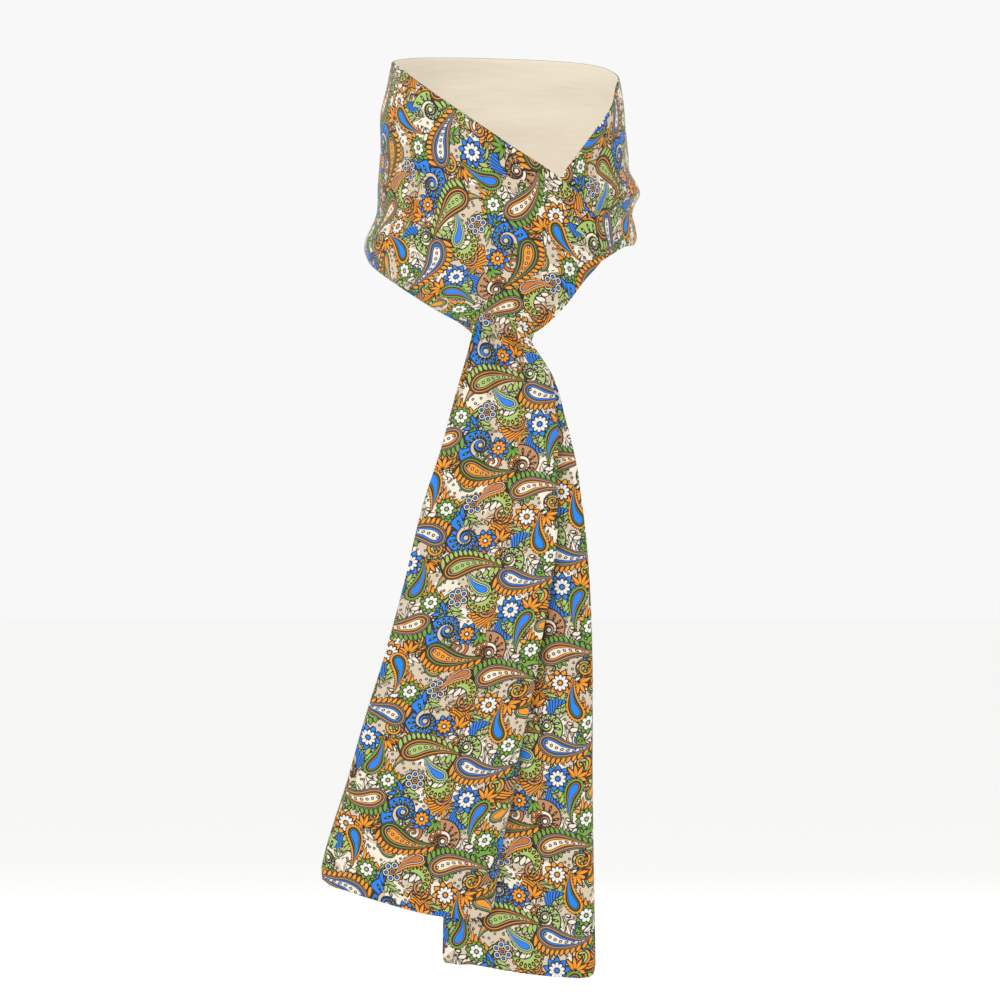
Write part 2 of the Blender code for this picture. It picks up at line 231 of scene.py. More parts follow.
@dataclass
class PaisleyPrint:
    """Screen-printed paisley: figures filled with flat ink inside fine dark outlines.

    The design is one block, laid half dropped over the cloth. Each figure has its own place in the
    block, and one that is painted later covers the ones before. A figure is mirrored, and may change
    inks, turn about from one block to the next. Sizes are millimetres of the drawing, which is
    printed a little smaller than it was drawn.
    """

    tree: bpy.types.NodeTree
    width: float = 72.0
    height: float = 62.0
    # Half the width of an outline, and the blur of an ink's edge in the yarn.
    line: float = 0.34
    soft: float = 0.24
    scale: float = 0.86
    across: Field = field(init=False)
    along: Field = field(init=False)
    # What is painted so far, where blocks of the second kind are, and the inks that change there.
    colour: Colour = linear(Dye.ECRU.value)
    second: Field | None = None
    partners: dict[Dye, Dye] = field(default_factory=dict)

    def __post_init__(self) -> None:
        """Read the cloth coordinates."""
        self.across, self.along = cloth_place(self.tree, self.scale)

    def figure(self, name: str, draw: Callable[..., None], *place: float, **details: object) -> None:
        """Paint one figure in a node group of its own.

        Args:
            name: The group's name.
            draw: The method that paints it.
            *place: Its middle across and along, its turn, and whether it is mirrored.
            **details: What the method takes besides the place, parts as in spot, and partners,
                which says what inks change to in blocks of the second kind.
        """
        outside = self.tree, self.across, self.along, self.colour
        group = bpy.data.node_groups.new(name, "ShaderNodeTree")
        for label, kind in (("Across", "Float"), ("Along", "Float"), ("Below", "Color")):
            group.interface.new_socket(label, in_out="INPUT", socket_type="NodeSocket" + kind)
        group.interface.new_socket("Print", in_out="OUTPUT", socket_type="NodeSocketColor")
        given = group.nodes.new("NodeGroupInput")
        result = group.nodes.new("NodeGroupOutput")
        self.tree = group
        self.across, self.along = (Field(group, given.outputs[i]) for i in (0, 1))
        self.colour = given.outputs["Below"]
        self.partners = details.pop("partners", {})
        draw(self.spot(*place, parts=details.pop("parts", 1)), **details)
        self.partners = {}
        group.links.new(self.colour, result.inputs[0])
        self.tree, self.across, self.along, below = outside
        inputs = {0: self.across, 1: self.along, 2: below}
        self.colour = add_node(self.tree, "Group", {"node_tree": group}, inputs).outputs[0]

    def spot(self, x: float, y: float, turn_deg: float, mirrored: bool = False, parts: int = 1) -> Spot:
        """Find the place within the field of one figure, and note which kind of block it is in.

        Args:
            x: The figure's middle in the block, across.
            y: The same, along.
            turn_deg: How far the figure is turned.
            mirrored: Whether it is mirrored.
            parts: Into how many parts the block is divided each way, with the figure in every part.

        Returns:
            The place.
        """
        width, height = self.width / parts, self.height / parts
        column = self.across.do("MULTIPLY_ADD", 1 / width, 0.5 - x / width)
        row = self.along.do("MULTIPLY_ADD", 1 / height, 0.5 - y / height)
        row = column.do("FLOOR").do("MULTIPLY_ADD", 0.5, row)
        across_flip = self.flip(column)
        along_flip = self.flip(row)
        self.second = (across_flip * along_flip).do("MULTIPLY_ADD", -0.5, 0.5)
        right = column.do("FRACT").do("MULTIPLY_ADD", width, -width / 2) * across_flip
        up = row.do("FRACT").do("MULTIPLY_ADD", height, -height / 2) * along_flip
        c, s = math.cos(math.radians(turn_deg)), math.sin(math.radians(turn_deg))
        side = -1.0 if mirrored else 1.0
        return Spot(
            right.do("MULTIPLY_ADD", c * side, up * (s * side)),
            right.do("MULTIPLY_ADD", -s, up * c),
        )

    def flip(self, count: Field) -> Field:
        """1 or -1, turn about from one block to the next."""
        return (count.do("FLOOR") * 0.5).do("FRACT").do("MULTIPLY_ADD", -4.0, 1.0)

    def ink(self, dye: Dye) -> Colour:
        """Find an ink's colour: its own or, in blocks of the second kind, that of its partner.

        Args:
            dye: The ink.

        Returns:
            The colour.
        """
        own = linear(dye.value)
        if dye not in self.partners:
            return own
        inputs = {0: self.second, 6: own, 7: linear(self.partners[dye].value)}
        return add_node(self.tree, "Mix", {"data_type": "RGBA", "hide": True}, inputs).outputs[2]

    def over(self, share: Field, dye: Dye) -> None:
        """Lay an ink over what is there, as far as share says."""
        inputs = {0: share, 6: self.colour, 7: self.ink(dye)}
        self.colour = add_node(self.tree, "Mix", {"data_type": "RGBA", "hide": True}, inputs).outputs[2]

    def paint(self, distance: Field, dye: Dye) -> None:
        """Fill a shape with an ink and draw its outline.

        Args:
            distance: Distance in millimetres from the shape's edge, below zero inside.
            dye: The ink.
        """
        self.over(distance.under(0.0, self.soft), dye)
        self.over(distance.size().under(self.line, self.soft), Dye.OUTLINE)

    def leaf(self, out: Field, side: Field, long: float, wide: float) -> Field:
        """Distance to a pointed leaf of a half length and half width."""
        return (side.size() + out * out * (wide / long**2) - wide) * 0.8

    def bead(self, out: Field, side: Field, long: float, wide: float) -> Field:
        """Distance to an oval of a half length and half width."""
        return (out * out * (wide / long) ** 2 + side * side).do("SQRT") - wide

    def wheel(self, spot: Spot, count: int, shift: float = 0.0) -> tuple[Field, Field]:
        """Fold a spot about its middle into one of several equal wedges.

        Args:
            spot: The place.
            count: Number of wedges.
            shift: Turn of the first, as a share of one wedge.

        Returns:
            How far out along the wedge's middle, and how far aside of it.
        """
        wedge = math.tau / count
        share = spot.turn().do("MULTIPLY_ADD", 1 / wedge, shift)
        off = (share - share.do("ROUND")) * wedge
        reach = spot.reach()
        return reach * off.wave(), reach * off.do("SINE")

    def bloom(self, spot: Spot, radius: float, petals: int, inks: Inks, leaves: int) -> None:
        """Paint a flower of narrow petals over a wreath of leaves.

        Args:
            spot: Place within the figure.
            radius: To the petals' ends.
            petals: Number of petals.
            inks: Inks of the leaves, the petals and the eye.
            leaves: Number of leaves in the wreath.
        """
        out, side = self.wheel(spot, leaves, 0.5)
        self.paint(self.leaf(out - radius * 0.95, side, radius * 0.6, radius * 0.36), inks[0])
        out, side = self.wheel(spot, petals)
        self.paint(self.bead(out - radius * 0.62, side, radius * 0.38, radius * 2.3 / petals), inks[1])
        self.paint(spot.reach() - radius * 0.26, inks[2])

    def rosette(self, spot: Spot, radius: float, inks: Inks) -> None:
        """Paint six round petals about a ring, each with a dot.

        Args:
            spot: Place within the figure.
            radius: To the petals' ends.
            inks: Inks of the petals, the dots and the hub.
        """
        petals = 6
        out, side = self.wheel(spot, petals)
        petal = self.bead(out - radius * 0.64, side, 1.0, 1.0) + 1.0
        self.paint(petal - radius * 0.34, inks[0])
        self.paint(petal - radius * 0.16, inks[1])
        self.paint(spot.reach() - radius * 0.32, inks[2])
        self.paint(spot.reach() - radius * 0.15, inks[1])

    def paisley(
        self,
        spot: Spot,
        length: float,
        stout: float,
        bands: tuple[tuple[float, Dye], ...],
        fringe: Dye | None = None,
        tooth: float = 0.0,
    ) -> None:
        """Paint a curled teardrop of nested bands.

        Args:
            spot: Place within the figure.
            length: From the round end to the tip.
            stout: Half width as a share of half the length.
            bands: How far inside the edge each band starts, and its ink.
            fringe: Ink of a row of leaves on its convex side. White dots then lie along its middle.
            tooth: Spacing of teeth on the edge, or none.
        """
        leaf_pitch, dot_pitch = 3.0, 3.6
        half = length / 2
        y = spot.y * (1 / half)
        curl = (y + 0.45).do("MAXIMUM", 0.0)
        x = spot.x.do("MULTIPLY_ADD", 1 / half, curl * curl * 0.42) - 0.16
        width = y.do("MULTIPLY_ADD", -0.62 * stout, stout * 0.96)
        aside = x / width.do("MAXIMUM", 0.04)
        ring = (aside * aside + y * y).do("SQRT").do("MAXIMUM", 0.3)
        steep = aside / width.do("MAXIMUM", 0.04)
        grade = (steep * steep + y * y).do("SQRT").do("MAXIMUM", 0.3)
        depth = (ring - 1.0) * ring / grade * half
        if fringe:
            out = depth - 2.1
            step = (spot.y - x.size() * half * 0.4) * (1 / leaf_pitch)
            slant = (step - step.do("ROUND")) * leaf_pitch
            blade = self.leaf(out, slant + out * 0.25, leaf_pitch, 1.45)
            convex = x * -half - 0.5
            self.paint(blade.both(convex).both(y.size() * half - half * 1.02), fringe)
        for inset, dye in bands:
            edge = depth + inset
            if tooth and not inset:
                step = (spot.y + x * half * 0.8) * (math.pi / tooth)
                edge = edge - step.wave().size() * width.do("MINIMUM", stout * 0.8) * (1.1 / stout)
            self.paint(edge, dye)
        if fringe:
            step = spot.y.do("MULTIPLY_ADD", 1 / dot_pitch, 0.3)
            off = (step - step.do("ROUND")) * dot_pitch
            dot = self.bead(off, x * half, 0.75, 0.75)
            self.paint(dot.both(depth + bands[-1][0] + 0.3), Dye.WHITE)

    def volute(self, spot: Spot, radius: float, inks: Inks, seeds: int) -> None:
        """Paint a shell that winds inwards, with a groove and seeds along its back.

        Args:
            spot: Place within the figure.
            radius: Mean radius of the shell.
            inks: Inks of the shell, the groove and the seeds.
            seeds: Number of seeds in one turn.
        """
        grow = math.tau * 0.20
        reach, turn = spot.reach().do("MAXIMUM", 0.3), spot.turn()
        wind = (reach * (1 / radius)).do("LOGARITHM", math.e) * (1 / grow) - turn * (1 / math.tau)
        width = reach * grow * 0.8
        self.paint(wind * width, inks[0])
        phase = wind.do("FRACT")
        limit = wind * width + 0.5
        groove = (phase - 0.42) * width
        self.paint(groove.both(limit), inks[1])
        winding = (phase * width).under(self.line * 1.5, self.soft)
        self.over(winding * limit.under(0.0, self.soft), Dye.OUTLINE)
        _, side = self.wheel(spot, seeds)
        seed = self.bead((phase - 0.72) * width, side, 1.3, 0.6)
        near = reach * -1.0 + radius * 0.42
        self.paint(seed.both(limit).both(near), inks[2])
        self.paint(reach - radius * 0.2, inks[1])

    def crescent(self, spot: Spot, radius: float, inks: Inks, drops: int) -> None:
        """Paint a crescent with a scalloped back and drops along it.

        Args:
            spot: Place within the figure.
            radius: Of its back.
            inks: Inks of the scallops, the crescent and its drops.
            drops: Number of drops in a whole turn.
        """
        out, side = self.wheel(spot, drops)
        x, y = spot.x, spot.y - radius * 0.5
        hollow = (x * x + y * y).do("SQRT") * -1.0 + radius * 0.72
        back = spot.reach() - radius
        bump = self.bead(out - radius, side, 1.5, 1.5)
        self.paint(bump.both(hollow), inks[0])
        self.paint(back.both(hollow), inks[1])
        drop = self.bead(out - radius * 0.74, side, 1.3, 0.75)
        self.paint(drop.both(hollow + 0.9), inks[2])

    def garland(self, spot: Spot, length: float, leaf: float, dye: Dye, seeds: bool) -> None:
        """Paint a bowed stem with pairs of slanting leaves.

        Args:
            spot: Place within the figure.
            length: Of the stem.
            leaf: Length of a leaf.
            dye: The leaves' ink.
            seeds: Whether each pair of leaves has a white seed on the stem.
        """
        bow = 0.5
        pitch = leaf * 0.66
        x = (spot.y * spot.y).do("MULTIPLY_ADD", 2 * bow / length, spot.x) - length * bow * 0.2
        aside = x.size()
        step = (spot.y - aside * 0.8) * (1 / pitch)
        slant = (step - step.do("ROUND")) * pitch
        shrink = (spot.y * spot.y) * (leaf * 0.9 / length**2)
        blade = self.leaf(aside - leaf * 0.5, slant, leaf * 0.56, pitch * 0.54) + shrink
        ends = spot.y.size() - length / 2
        self.over(aside.both(ends).under(self.line, self.soft), Dye.OUTLINE)
        self.paint(blade.both(ends), dye)
        if seeds:
            step = spot.y * (1 / (2 * pitch))
            off = (step - step.do("ROUND")) * (2 * pitch)
            self.paint(self.bead(off, x, 0.6, 0.6).both(ends), Dye.WHITE)

    def plume(self, spot: Spot, length: float, width: float, dye: Dye) -> None:
        """Paint a plume of slanting strokes to one side of its stem.

        Args:
            spot: Place within the figure.
            length: From foot to tip.
            width: Of the plume.
            dye: Its ink.
        """
        pitch = 2.5
        x = (spot.y * spot.y).do("MULTIPLY_ADD", 0.9 / length, spot.x) + width * 0.35
        step = (spot.y - x * 1.1) * (1 / pitch)
        off = step - step.do("ROUND")
        taper = (spot.y * spot.y).do("MULTIPLY_ADD", -4 / length**2, 1.0)
        tip = (off * off).do("MULTIPLY_ADD", -1.2, 1.0)
        edge = ((x - taper * tip * width) * 0.7).both(x * -1.0)
        self.paint(edge, dye)
        gap = off.size().do("MULTIPLY_ADD", -pitch * 0.68, pitch * 0.34)
        self.over(gap.under(self.line, self.soft) * edge.under(0.0, self.soft), Dye.OUTLINE)

    def spray(self, spot: Spot, radius: float, leaves: int, dye: Dye) -> None:
        """Paint a fan of pointed leaves from one foot.

        Args:
            spot: Place within the figure.
            radius: To the leaves' ends.
            leaves: How many would make a whole ring.
            dye: Their ink.
        """
        out, side = self.wheel(spot, leaves)
        blade = self.leaf(out - radius * 0.52, side, radius * 0.5, radius * 1.6 / leaves)
        self.paint(blade.both(spot.y * -1.0 - radius * 0.12), dye)

    def curl(self, spot: Spot, radius: float, dye: Dye) -> None:
        """Paint a stem that curls into a spiral.

        Args:
            spot: Place within the figure.
            radius: Of the curl.
            dye: Its ink.
        """
        pitch = radius * 0.62
        reach = spot.reach()
        wind = reach * (1 / pitch) - spot.turn() * (1 / math.tau)
        off = (wind - wind.do("ROUND")).size() * pitch
        swell = reach * 0.10 + 0.5
        self.paint((off - swell).both(reach - radius), dye)

    def ground(self) -> None:
        """Paint the ground: two pale shades, with small white seeds on them."""
        place = add_node(self.tree, "CombineXYZ", {"hide": True}, {0: self.across, 1: self.along})
        settings = {"voronoi_dimensions": "2D"}
        blot, seed_gap, seed_radius = 14.0, 4.4, 0.62
        inputs = {"Vector": place.outputs[0], "Scale": 1 / blot}
        blots = add_node(self.tree, "TexVoronoi", settings, inputs)
        shade = add_node(self.tree, "SeparateColor", {"hide": True}, {0: blots.outputs["Color"]})
        self.over(Field(self.tree, shade.outputs[0]).do("GREATER_THAN", 0.62), Dye.CREAM)
        inputs = {"Vector": place.outputs[0], "Scale": 1 / seed_gap, "Randomness": 0.8}
        seeds = add_node(self.tree, "TexVoronoi", settings, inputs)
        self.paint(Field(self.tree, seeds.outputs["Distance"]) * seed_gap - seed_radius, Dye.WHITE)

    def foliage(self) -> None:
        """Paint the garlands, plumes, curled stems and sprays that fill the ground."""
        change = {Dye.GREEN: Dye.LEAF, Dye.LEAF: Dye.ORANGE}
        for place, leaf, dye in (
            ((24, 4, -70, True), 6.2, Dye.CREAM),
            ((30, 22, 55, True), 5.8, Dye.LEAF),
            ((8, 14, 20), 5.6, Dye.GREEN),
        ):
            garland = {"length": 23.0, "leaf": leaf, "dye": dye, "seeds": dye is Dye.GREEN}
            self.figure("Garland", self.garland, *place, parts=2, partners=change, **garland)
        for place, dye in (
            ((33, 30, -60), Dye.ORANGE),
            ((6, 47, 40), Dye.AZURE),
            ((64, 8, 100), Dye.ORANGE),
            ((36, 22, 80), Dye.TAN),
        ):
            self.figure("Plume", self.plume, *place, length=19.0, width=7.5, dye=dye)
        for place, dye in (
            ((54, 27, 0), Dye.RUST),
            ((66, 0, 120), Dye.TAN),
            ((26, 22, 200), Dye.ORANGE),
        ):
            self.figure("Curled stem", self.curl, *place, radius=6.2, dye=dye)
        for place, dye in (
            ((22, 31, 150), Dye.ORANGE),
            ((66, 17, 20), Dye.GREEN),
            ((40, 3, 80), Dye.AZURE),
        ):
            spray = {"radius": 9.0, "leaves": 10, "dye": dye}
            self.figure("Spray", self.spray, *place, partners={Dye.GREEN: Dye.ORANGE}, **spray)

    def crescents_and_rosettes(self) -> None:
        """Paint two crescents and two rosettes."""
        for name, place, inks, drops in (
            ("Leaf crescent", (62, 55, 30), (Dye.ORANGE, Dye.LEAF, Dye.ORANGE), 15),
            ("Scalloped crescent", (31, 8, 160), (Dye.AZURE, Dye.GREEN, Dye.LEAF), 14),
        ):
            self.figure(name, self.crescent, *place, radius=9.5, inks=inks, drops=drops)
        for name, place, inks, radius in (
            ("Cream rosette", (46, 55, 10), (Dye.CREAM, Dye.AZURE, Dye.ORANGE), 6.8),
            ("Orange rosette", (70, 27, 0), (Dye.ORANGE, Dye.WHITE, Dye.RUST), 5.8),
        ):
            self.figure(name, self.rosette, *place, radius=radius, inks=inks)

    def daisies(self) -> None:
        """Paint three daisies."""
        inks = (Dye.ORANGE, Dye.WHITE, Dye.ORANGE)
        daisy = {"radius": 5.8, "petals": 10, "inks": inks, "leaves": 9}
        change = {Dye.ORANGE: Dye.AZURE}
        self.figure("White daisy", self.bloom, 10, 32, 0, partners=change, **daisy)
        inks = (Dye.GREEN, Dye.WHITE, Dye.LEAF)
        daisy = {"radius": 4.8, "petals": 7, "inks": inks, "leaves": 11}
        self.figure("Wreathed daisy", self.bloom, 29, 58, 0, **daisy)
        inks = (Dye.AZURE, Dye.ORANGE, Dye.CREAM)
        daisy = {"radius": 5.0, "petals": 9, "inks": inks, "leaves": 8}
        self.figure("Orange daisy", self.bloom, 57, 17, 0, **daisy)

    def volutes(self) -> None:
        """Paint two shells."""
        inks = (Dye.AZURE, Dye.ECRU, Dye.LEAF)
        self.figure("Azure volute", self.volute, 44, 15, 200, radius=9.0, inks=inks, seeds=15)
        inks = (Dye.LEAF, Dye.CREAM, Dye.WHITE)
        shell = {"radius": 8.0, "inks": inks, "seeds": 13}
        change = {Dye.LEAF: Dye.TAN, Dye.WHITE: Dye.ORANGE}
        self.figure("Leaf volute", self.volute, 2, 60, 20, True, partners=change, **shell)

    def small_drops(self) -> None:
        """Paint three small teardrops, two of them with toothed edges."""
        bands = ((0.0, Dye.ORANGE), (1.3, Dye.CREAM), (1.9, Dye.GREEN), (2.9, Dye.AZURE))
        drop = {"length": 25.0, "stout": 0.37, "bands": bands, "tooth": 2.2}
        change = {Dye.ORANGE: Dye.GREEN, Dye.GREEN: Dye.ORANGE}
        self.figure("Azure drop", self.paisley, 19, 44, -35, partners=change, **drop)
        bands = ((0.0, Dye.ORANGE), (1.2, Dye.WHITE), (2.3, Dye.RUST))
        drop = {"length": 22.0, "stout": 0.36, "bands": bands, "tooth": 2.2}
        change = {Dye.RUST: Dye.AZURE, Dye.ORANGE: Dye.LEAF}
        self.figure("White drop", self.paisley, 56, 46, 75, True, partners=change, **drop)
        bands = ((0.0, Dye.GREEN), (1.1, Dye.CREAM), (2.1, Dye.ORANGE))
        drop = {"length": 20.0, "stout": 0.40, "bands": bands}
        self.figure("Green drop", self.paisley, 37, 39, 110, **drop)

    def fringed_paisleys(self) -> None:
        """Paint the two large paisleys, on top of everything else."""
        big = {"length": 35.0, "stout": 0.36}
        tan = (
            (0.0, Dye.CREAM), (0.8, Dye.TAN), (2.3, Dye.CREAM), (3.0, Dye.ORANGE), (4.6, Dye.CREAM),
        )
        inks = {"bands": tan, "fringe": Dye.GREEN}
        change = {Dye.GREEN: Dye.ORANGE, Dye.ORANGE: Dye.AZURE}
        self.figure("Tan paisley", self.paisley, 14, 12, 62, partners=change, **inks, **big)
        green = (
            (0.0, Dye.TAN), (0.8, Dye.GREEN), (2.1, Dye.CREAM), (2.7, Dye.TAN), (4.2, Dye.ORANGE),
        )
        inks = {"bands": green, "fringe": Dye.ORANGE}
        change = {Dye.ORANGE: Dye.LEAF, Dye.GREEN: Dye.ORANGE}
        self.figure("Green paisley", self.paisley, 50, 33, -58, True, partners=change, **inks, **big)

    def build(self) -> bpy.types.NodeSocket:
        """Paint the whole block, from the ground up.

        Returns:
            The colour of the print.
        """
        self.ground()
        self.foliage()
        self.crescents_and_rosettes()
        self.daisies()
        self.volutes()
        self.small_drops()
        self.fringed_paisleys()
        return self.colour


def cloth_place(tree: bpy.types.NodeTree, scale: float = 1.0) -> tuple[Field, Field]:
    """Read the place on the flat cloth.

    Args:
        tree: The material's tree.
        scale: Millimetres of cloth for one millimetre of the drawing.

    Returns:
        Across and along, in millimetres of the drawing.
    """
    place = add_node(tree, "UVMap", {"uv_map": PRINT_MAP}, {})
    parts = add_node(tree, "SeparateXYZ", {}, {0: place.outputs[0]})
    across, along = (Field(tree, parts.outputs[i]) * (1 / MM / scale) for i in (0, 1))
    return across, along


@dataclass(frozen=True)
class Finish:
    """What every finish has: its name and how rough it is."""

    name: str
    roughness: float

    def start(self) -> tuple[bpy.types.Material, bpy.types.NodeTree, bpy.types.Node]:
        """Begin the material.

        Returns:
            The material, its tree and its shader.
        """
        material = bpy.data.materials.new(self.name)
        material.use_nodes = True
        shader = material.node_tree.nodes["Principled BSDF"]
        shader.inputs["Roughness"].default_value = self.roughness
        return material, material.node_tree, shader


@dataclass(frozen=True)
class PrintedCloth(Finish):
    """Plain-woven, screen-printed cloth with a soft satin finish.

    The print lies in the yarn, so the colour is flat inside its outlines but for painted shade between
    the yarns; the light picks out the fine weave and runs in a low, broad sheen along the folds.
    """

    name: str = "Plain-woven cotton satin, screen printed"
    roughness: float = 0.52
    ior: float = 1.5
    specular: float = 0.25
    sheen: float = 0.05
    sheen_roughness: float = 0.4
    # The real yarns are 0.25 mm apart, too fine to show, so the weave is drawn at 0.9 mm.
    yarn_spacing: float = 0.9
    # Painted shade between the yarns: how dark the gaps are, and how much of it shows.
    gap_shade_tint: str = "4A3A30"
    gap_shade_share: float = 0.13
    # The gloss wanders by this much of roughness, in soft patches this wide on the drawing.
    gloss_spread: float = 0.16
    gloss_patch: float = 20.0
    # How much of the weave's relief shows, and its depth.
    relief: float = 0.22
    relief_depth: float = 0.3

    def build(self) -> bpy.types.Material:
        """Make the material.

        Returns:
            The material.
        """
        material, tree, shader = self.start()
        shader.inputs["IOR"].default_value = self.ior
        shader.inputs["Specular IOR Level"].default_value = self.specular
        shader.inputs["Sheen Weight"].default_value = self.sheen
        shader.inputs["Sheen Roughness"].default_value = self.sheen_roughness
        design = PaisleyPrint(tree)
        design.build()
        across, along = design.across, design.along
        turns = math.tau * design.scale / self.yarn_spacing
        weave = (across * turns).wave() * (along * turns).wave()
        # Painted shade: the print is darkened towards the gap tint in the weave's fine lattice.
        dark = weave.do("MULTIPLY_ADD", self.gap_shade_share, self.gap_shade_share)
        inputs = {0: dark, 6: design.colour, 7: linear(self.gap_shade_tint)}
        shaded_gaps = add_node(tree, "Mix", {"data_type": "RGBA", "blend_type": "MULTIPLY"}, inputs)
        tree.links.new(shaded_gaps.outputs[2], shader.inputs["Base Color"])
        inputs = {0: across * (1 / self.gloss_patch), 1: along * (1 / self.gloss_patch)}
        place = add_node(tree, "CombineXYZ", {}, inputs)
        inputs = {"Vector": place.outputs[0], "Scale": 1.0, "Detail": 5.0}
        uneven = Field(tree, add_node(tree, "TexNoise", {}, inputs).outputs["Fac"])
        smoothest = self.roughness - self.gloss_spread / 2
        gloss = uneven.do("MULTIPLY_ADD", self.gloss_spread, smoothest)
        tree.links.new(gloss.socket, shader.inputs["Roughness"])
        height = weave * 0.5 + uneven * 0.6
        inputs = {"Strength": self.relief, "Distance": self.relief_depth * MM, "Height": height}
        bump = add_node(tree, "Bump", {}, inputs)
        tree.links.new(bump.outputs[0], shader.inputs["Normal"])
        return material


@dataclass(frozen=True)
class LiningCloth(Finish):
    """Plain-woven cotton, dyed a pale ecru: matt, with a fine weave and faint slubs."""

    name: str = "Plain-woven cotton lining, dyed"
    roughness: float = 0.7
    colour: str = "E9E1D1"
    shade: str = "DACFBB"
    sheen: float = 0.15
    # The real yarns are 0.3 mm apart, too fine to show, so the weave is drawn at 1.0 mm.
    yarn_spacing: float = 1.0
    # Thick places in the yarn are short across the cloth and long along it.
    slubs_across: float = 0.6
    slubs_along: float = 0.05
    relief: float = 0.25
    relief_depth: float = 0.3

    def build(self) -> bpy.types.Material:
        """Make the material.

        Returns:
            The material.
        """
        material, tree, shader = self.start()
        shader.inputs["Sheen Weight"].default_value = self.sheen
        across, along = cloth_place(tree)
        turns = math.tau / self.yarn_spacing
        weave = (across * turns).wave() * (along * turns).wave()
        inputs = {0: across * self.slubs_across, 1: along * self.slubs_along}
        stretched = add_node(tree, "CombineXYZ", {}, inputs)
        inputs = {"Vector": stretched.outputs[0], "Scale": 1.0, "Detail": 4.0}
        uneven = Field(tree, add_node(tree, "TexNoise", {}, inputs).outputs["Fac"])
        share = (weave * 0.25 + uneven).do("MULTIPLY", 1.0, clamp=True)
        inputs = {0: share, 6: linear(self.colour), 7: linear(self.shade)}
        tone = add_node(tree, "Mix", {"data_type": "RGBA"}, inputs)
        tree.links.new(tone.outputs[2], shader.inputs["Base Color"])
        height = weave * 0.5 + uneven * 0.5
        inputs = {"Strength": self.relief, "Distance": self.relief_depth * MM, "Height": height}
        bump = add_node(tree, "Bump", {}, inputs)
        tree.links.new(bump.outputs[0], shader.inputs["Normal"])
        return material


@dataclass(frozen=True)
class CottonTape(Finish):
    """Woven cotton label tape: matt, off-white, with a fine rib."""

    name: str = "Woven cotton tape"
    roughness: float = 0.8
    colour: str = "EDE9E0"
    shade: str = "D9D3C6"
    # The ribs of a real label tape lie about this far apart.
    rib_spacing: float = 0.5236
    relief: float = 0.3
    relief_depth: float = 0.2

    def build(self) -> bpy.types.Material:
        """Make the material.

        Returns:
            The material.
        """
        material, tree, shader = self.start()
        place = add_node(tree, "UVMap", {"uv_map": PRINT_MAP}, {})
        scale = STRAIGHT_WAVE / (self.rib_spacing * MM)
        inputs = {"Vector": place.outputs[0], "Scale": scale, "Distortion": 0.4}
        rib = add_node(tree, "TexWave", {}, inputs).outputs["Fac"]
        inputs = {0: rib, 6: linear(self.colour), 7: linear(self.shade)}
        tone = add_node(tree, "Mix", {"data_type": "RGBA"}, inputs)
        tree.links.new(tone.outputs[2], shader.inputs["Base Color"])
        inputs = {"Strength": self.relief, "Distance": self.relief_depth * MM, "Height": rib}
        bump = add_node(tree, "Bump", {}, inputs)
        tree.links.new(bump.outputs[0], shader.inputs["Normal"])
        return material


@dataclass(frozen=True)
class SewingThread(Finish):
    """Twisted polyester thread: a little glossier than the cloth, with a twist along it."""

    name: str = "Twisted polyester thread"
    roughness: float = 0.45
    colour: str = "D8C49A"
    shade: str = "B79F72"
    # Length of one turn of the twist.
    twist_length: float = 0.6981

    def build(self) -> bpy.types.Material:
        """Make the material.

        Returns:
            The material.
        """
        material, tree, shader = self.start()
        place = add_node(tree, "UVMap", {"uv_map": PRINT_MAP}, {})
        scale = SLANTING_WAVE / (self.twist_length * MM)
        inputs = {"Vector": place.outputs[0], "Scale": scale}
        twist = add_node(tree, "TexWave", {"bands_direction": "DIAGONAL"}, inputs)
        inputs = {0: twist.outputs["Fac"], 6: linear(self.colour), 7: linear(self.shade)}
        tone = add_node(tree, "Mix", {"data_type": "RGBA"}, inputs)
        tree.links.new(tone.outputs[2], shader.inputs["Base Color"])
        return material


def smooth(stations: Stations, at: np.ndarray | float) -> np.ndarray:
    """A smooth curve through stations.

    Args:
        stations: Pairs of position and value, in any order.
        at: The positions wanted.

    Returns:
        The values there.
    """
    x, y = np.array(sorted(stations), float).T
    slope = np.gradient(y, x)
    at = np.asarray(at, float)
    i = np.clip(np.searchsorted(x, at) - 1, 0, len(x) - 2)
    span = x[i + 1] - x[i]
    t = np.clip((at - x[i]) / span, 0, 1)
    start = (2 * t**3 - 3 * t**2 + 1) * y[i] + (t**3 - 2 * t**2 + t) * span * slope[i]
    end = (3 * t**2 - 2 * t**3) * y[i + 1] + (t**3 - t**2) * span * slope[i + 1]
    return start + end


def along_run(points: Stations, share: np.ndarray) -> np.ndarray:
    """Positions along a smooth run of points.

    Args:
        points: The run.
        share: Shares from 0 to 1 of its length.

    Returns:
        One position for each share.
    """
    run = np.asarray(points, float)
    steps = np.linalg.norm(np.diff(run, axis=0), axis=1)
    at = np.concatenate([[0.0], np.cumsum(steps)]) / steps.sum()
    columns = [smooth(tuple(zip(at, run[:, k])), share) for k in range(run.shape[1])]
    return np.stack(columns, axis=-1)


def edge_dense(count: int) -> np.ndarray:
    """Shares from 0 to 1 across a piece, close together at its two long edges."""
    inner = np.linspace(0.02, 0.98, count)
    return np.concatenate([[0.0, 0.003, 0.009], inner, [0.991, 0.997, 1.0]])


def rolled(inset: np.ndarray) -> np.ndarray:
    """Share of the full thickness at a distance in millimetres from a turned edge."""
    near = np.clip(inset / EDGE_REACH, 0, 1)
    return EDGE_SHARE + (1 - EDGE_SHARE) * np.sqrt(near * (2 - near))


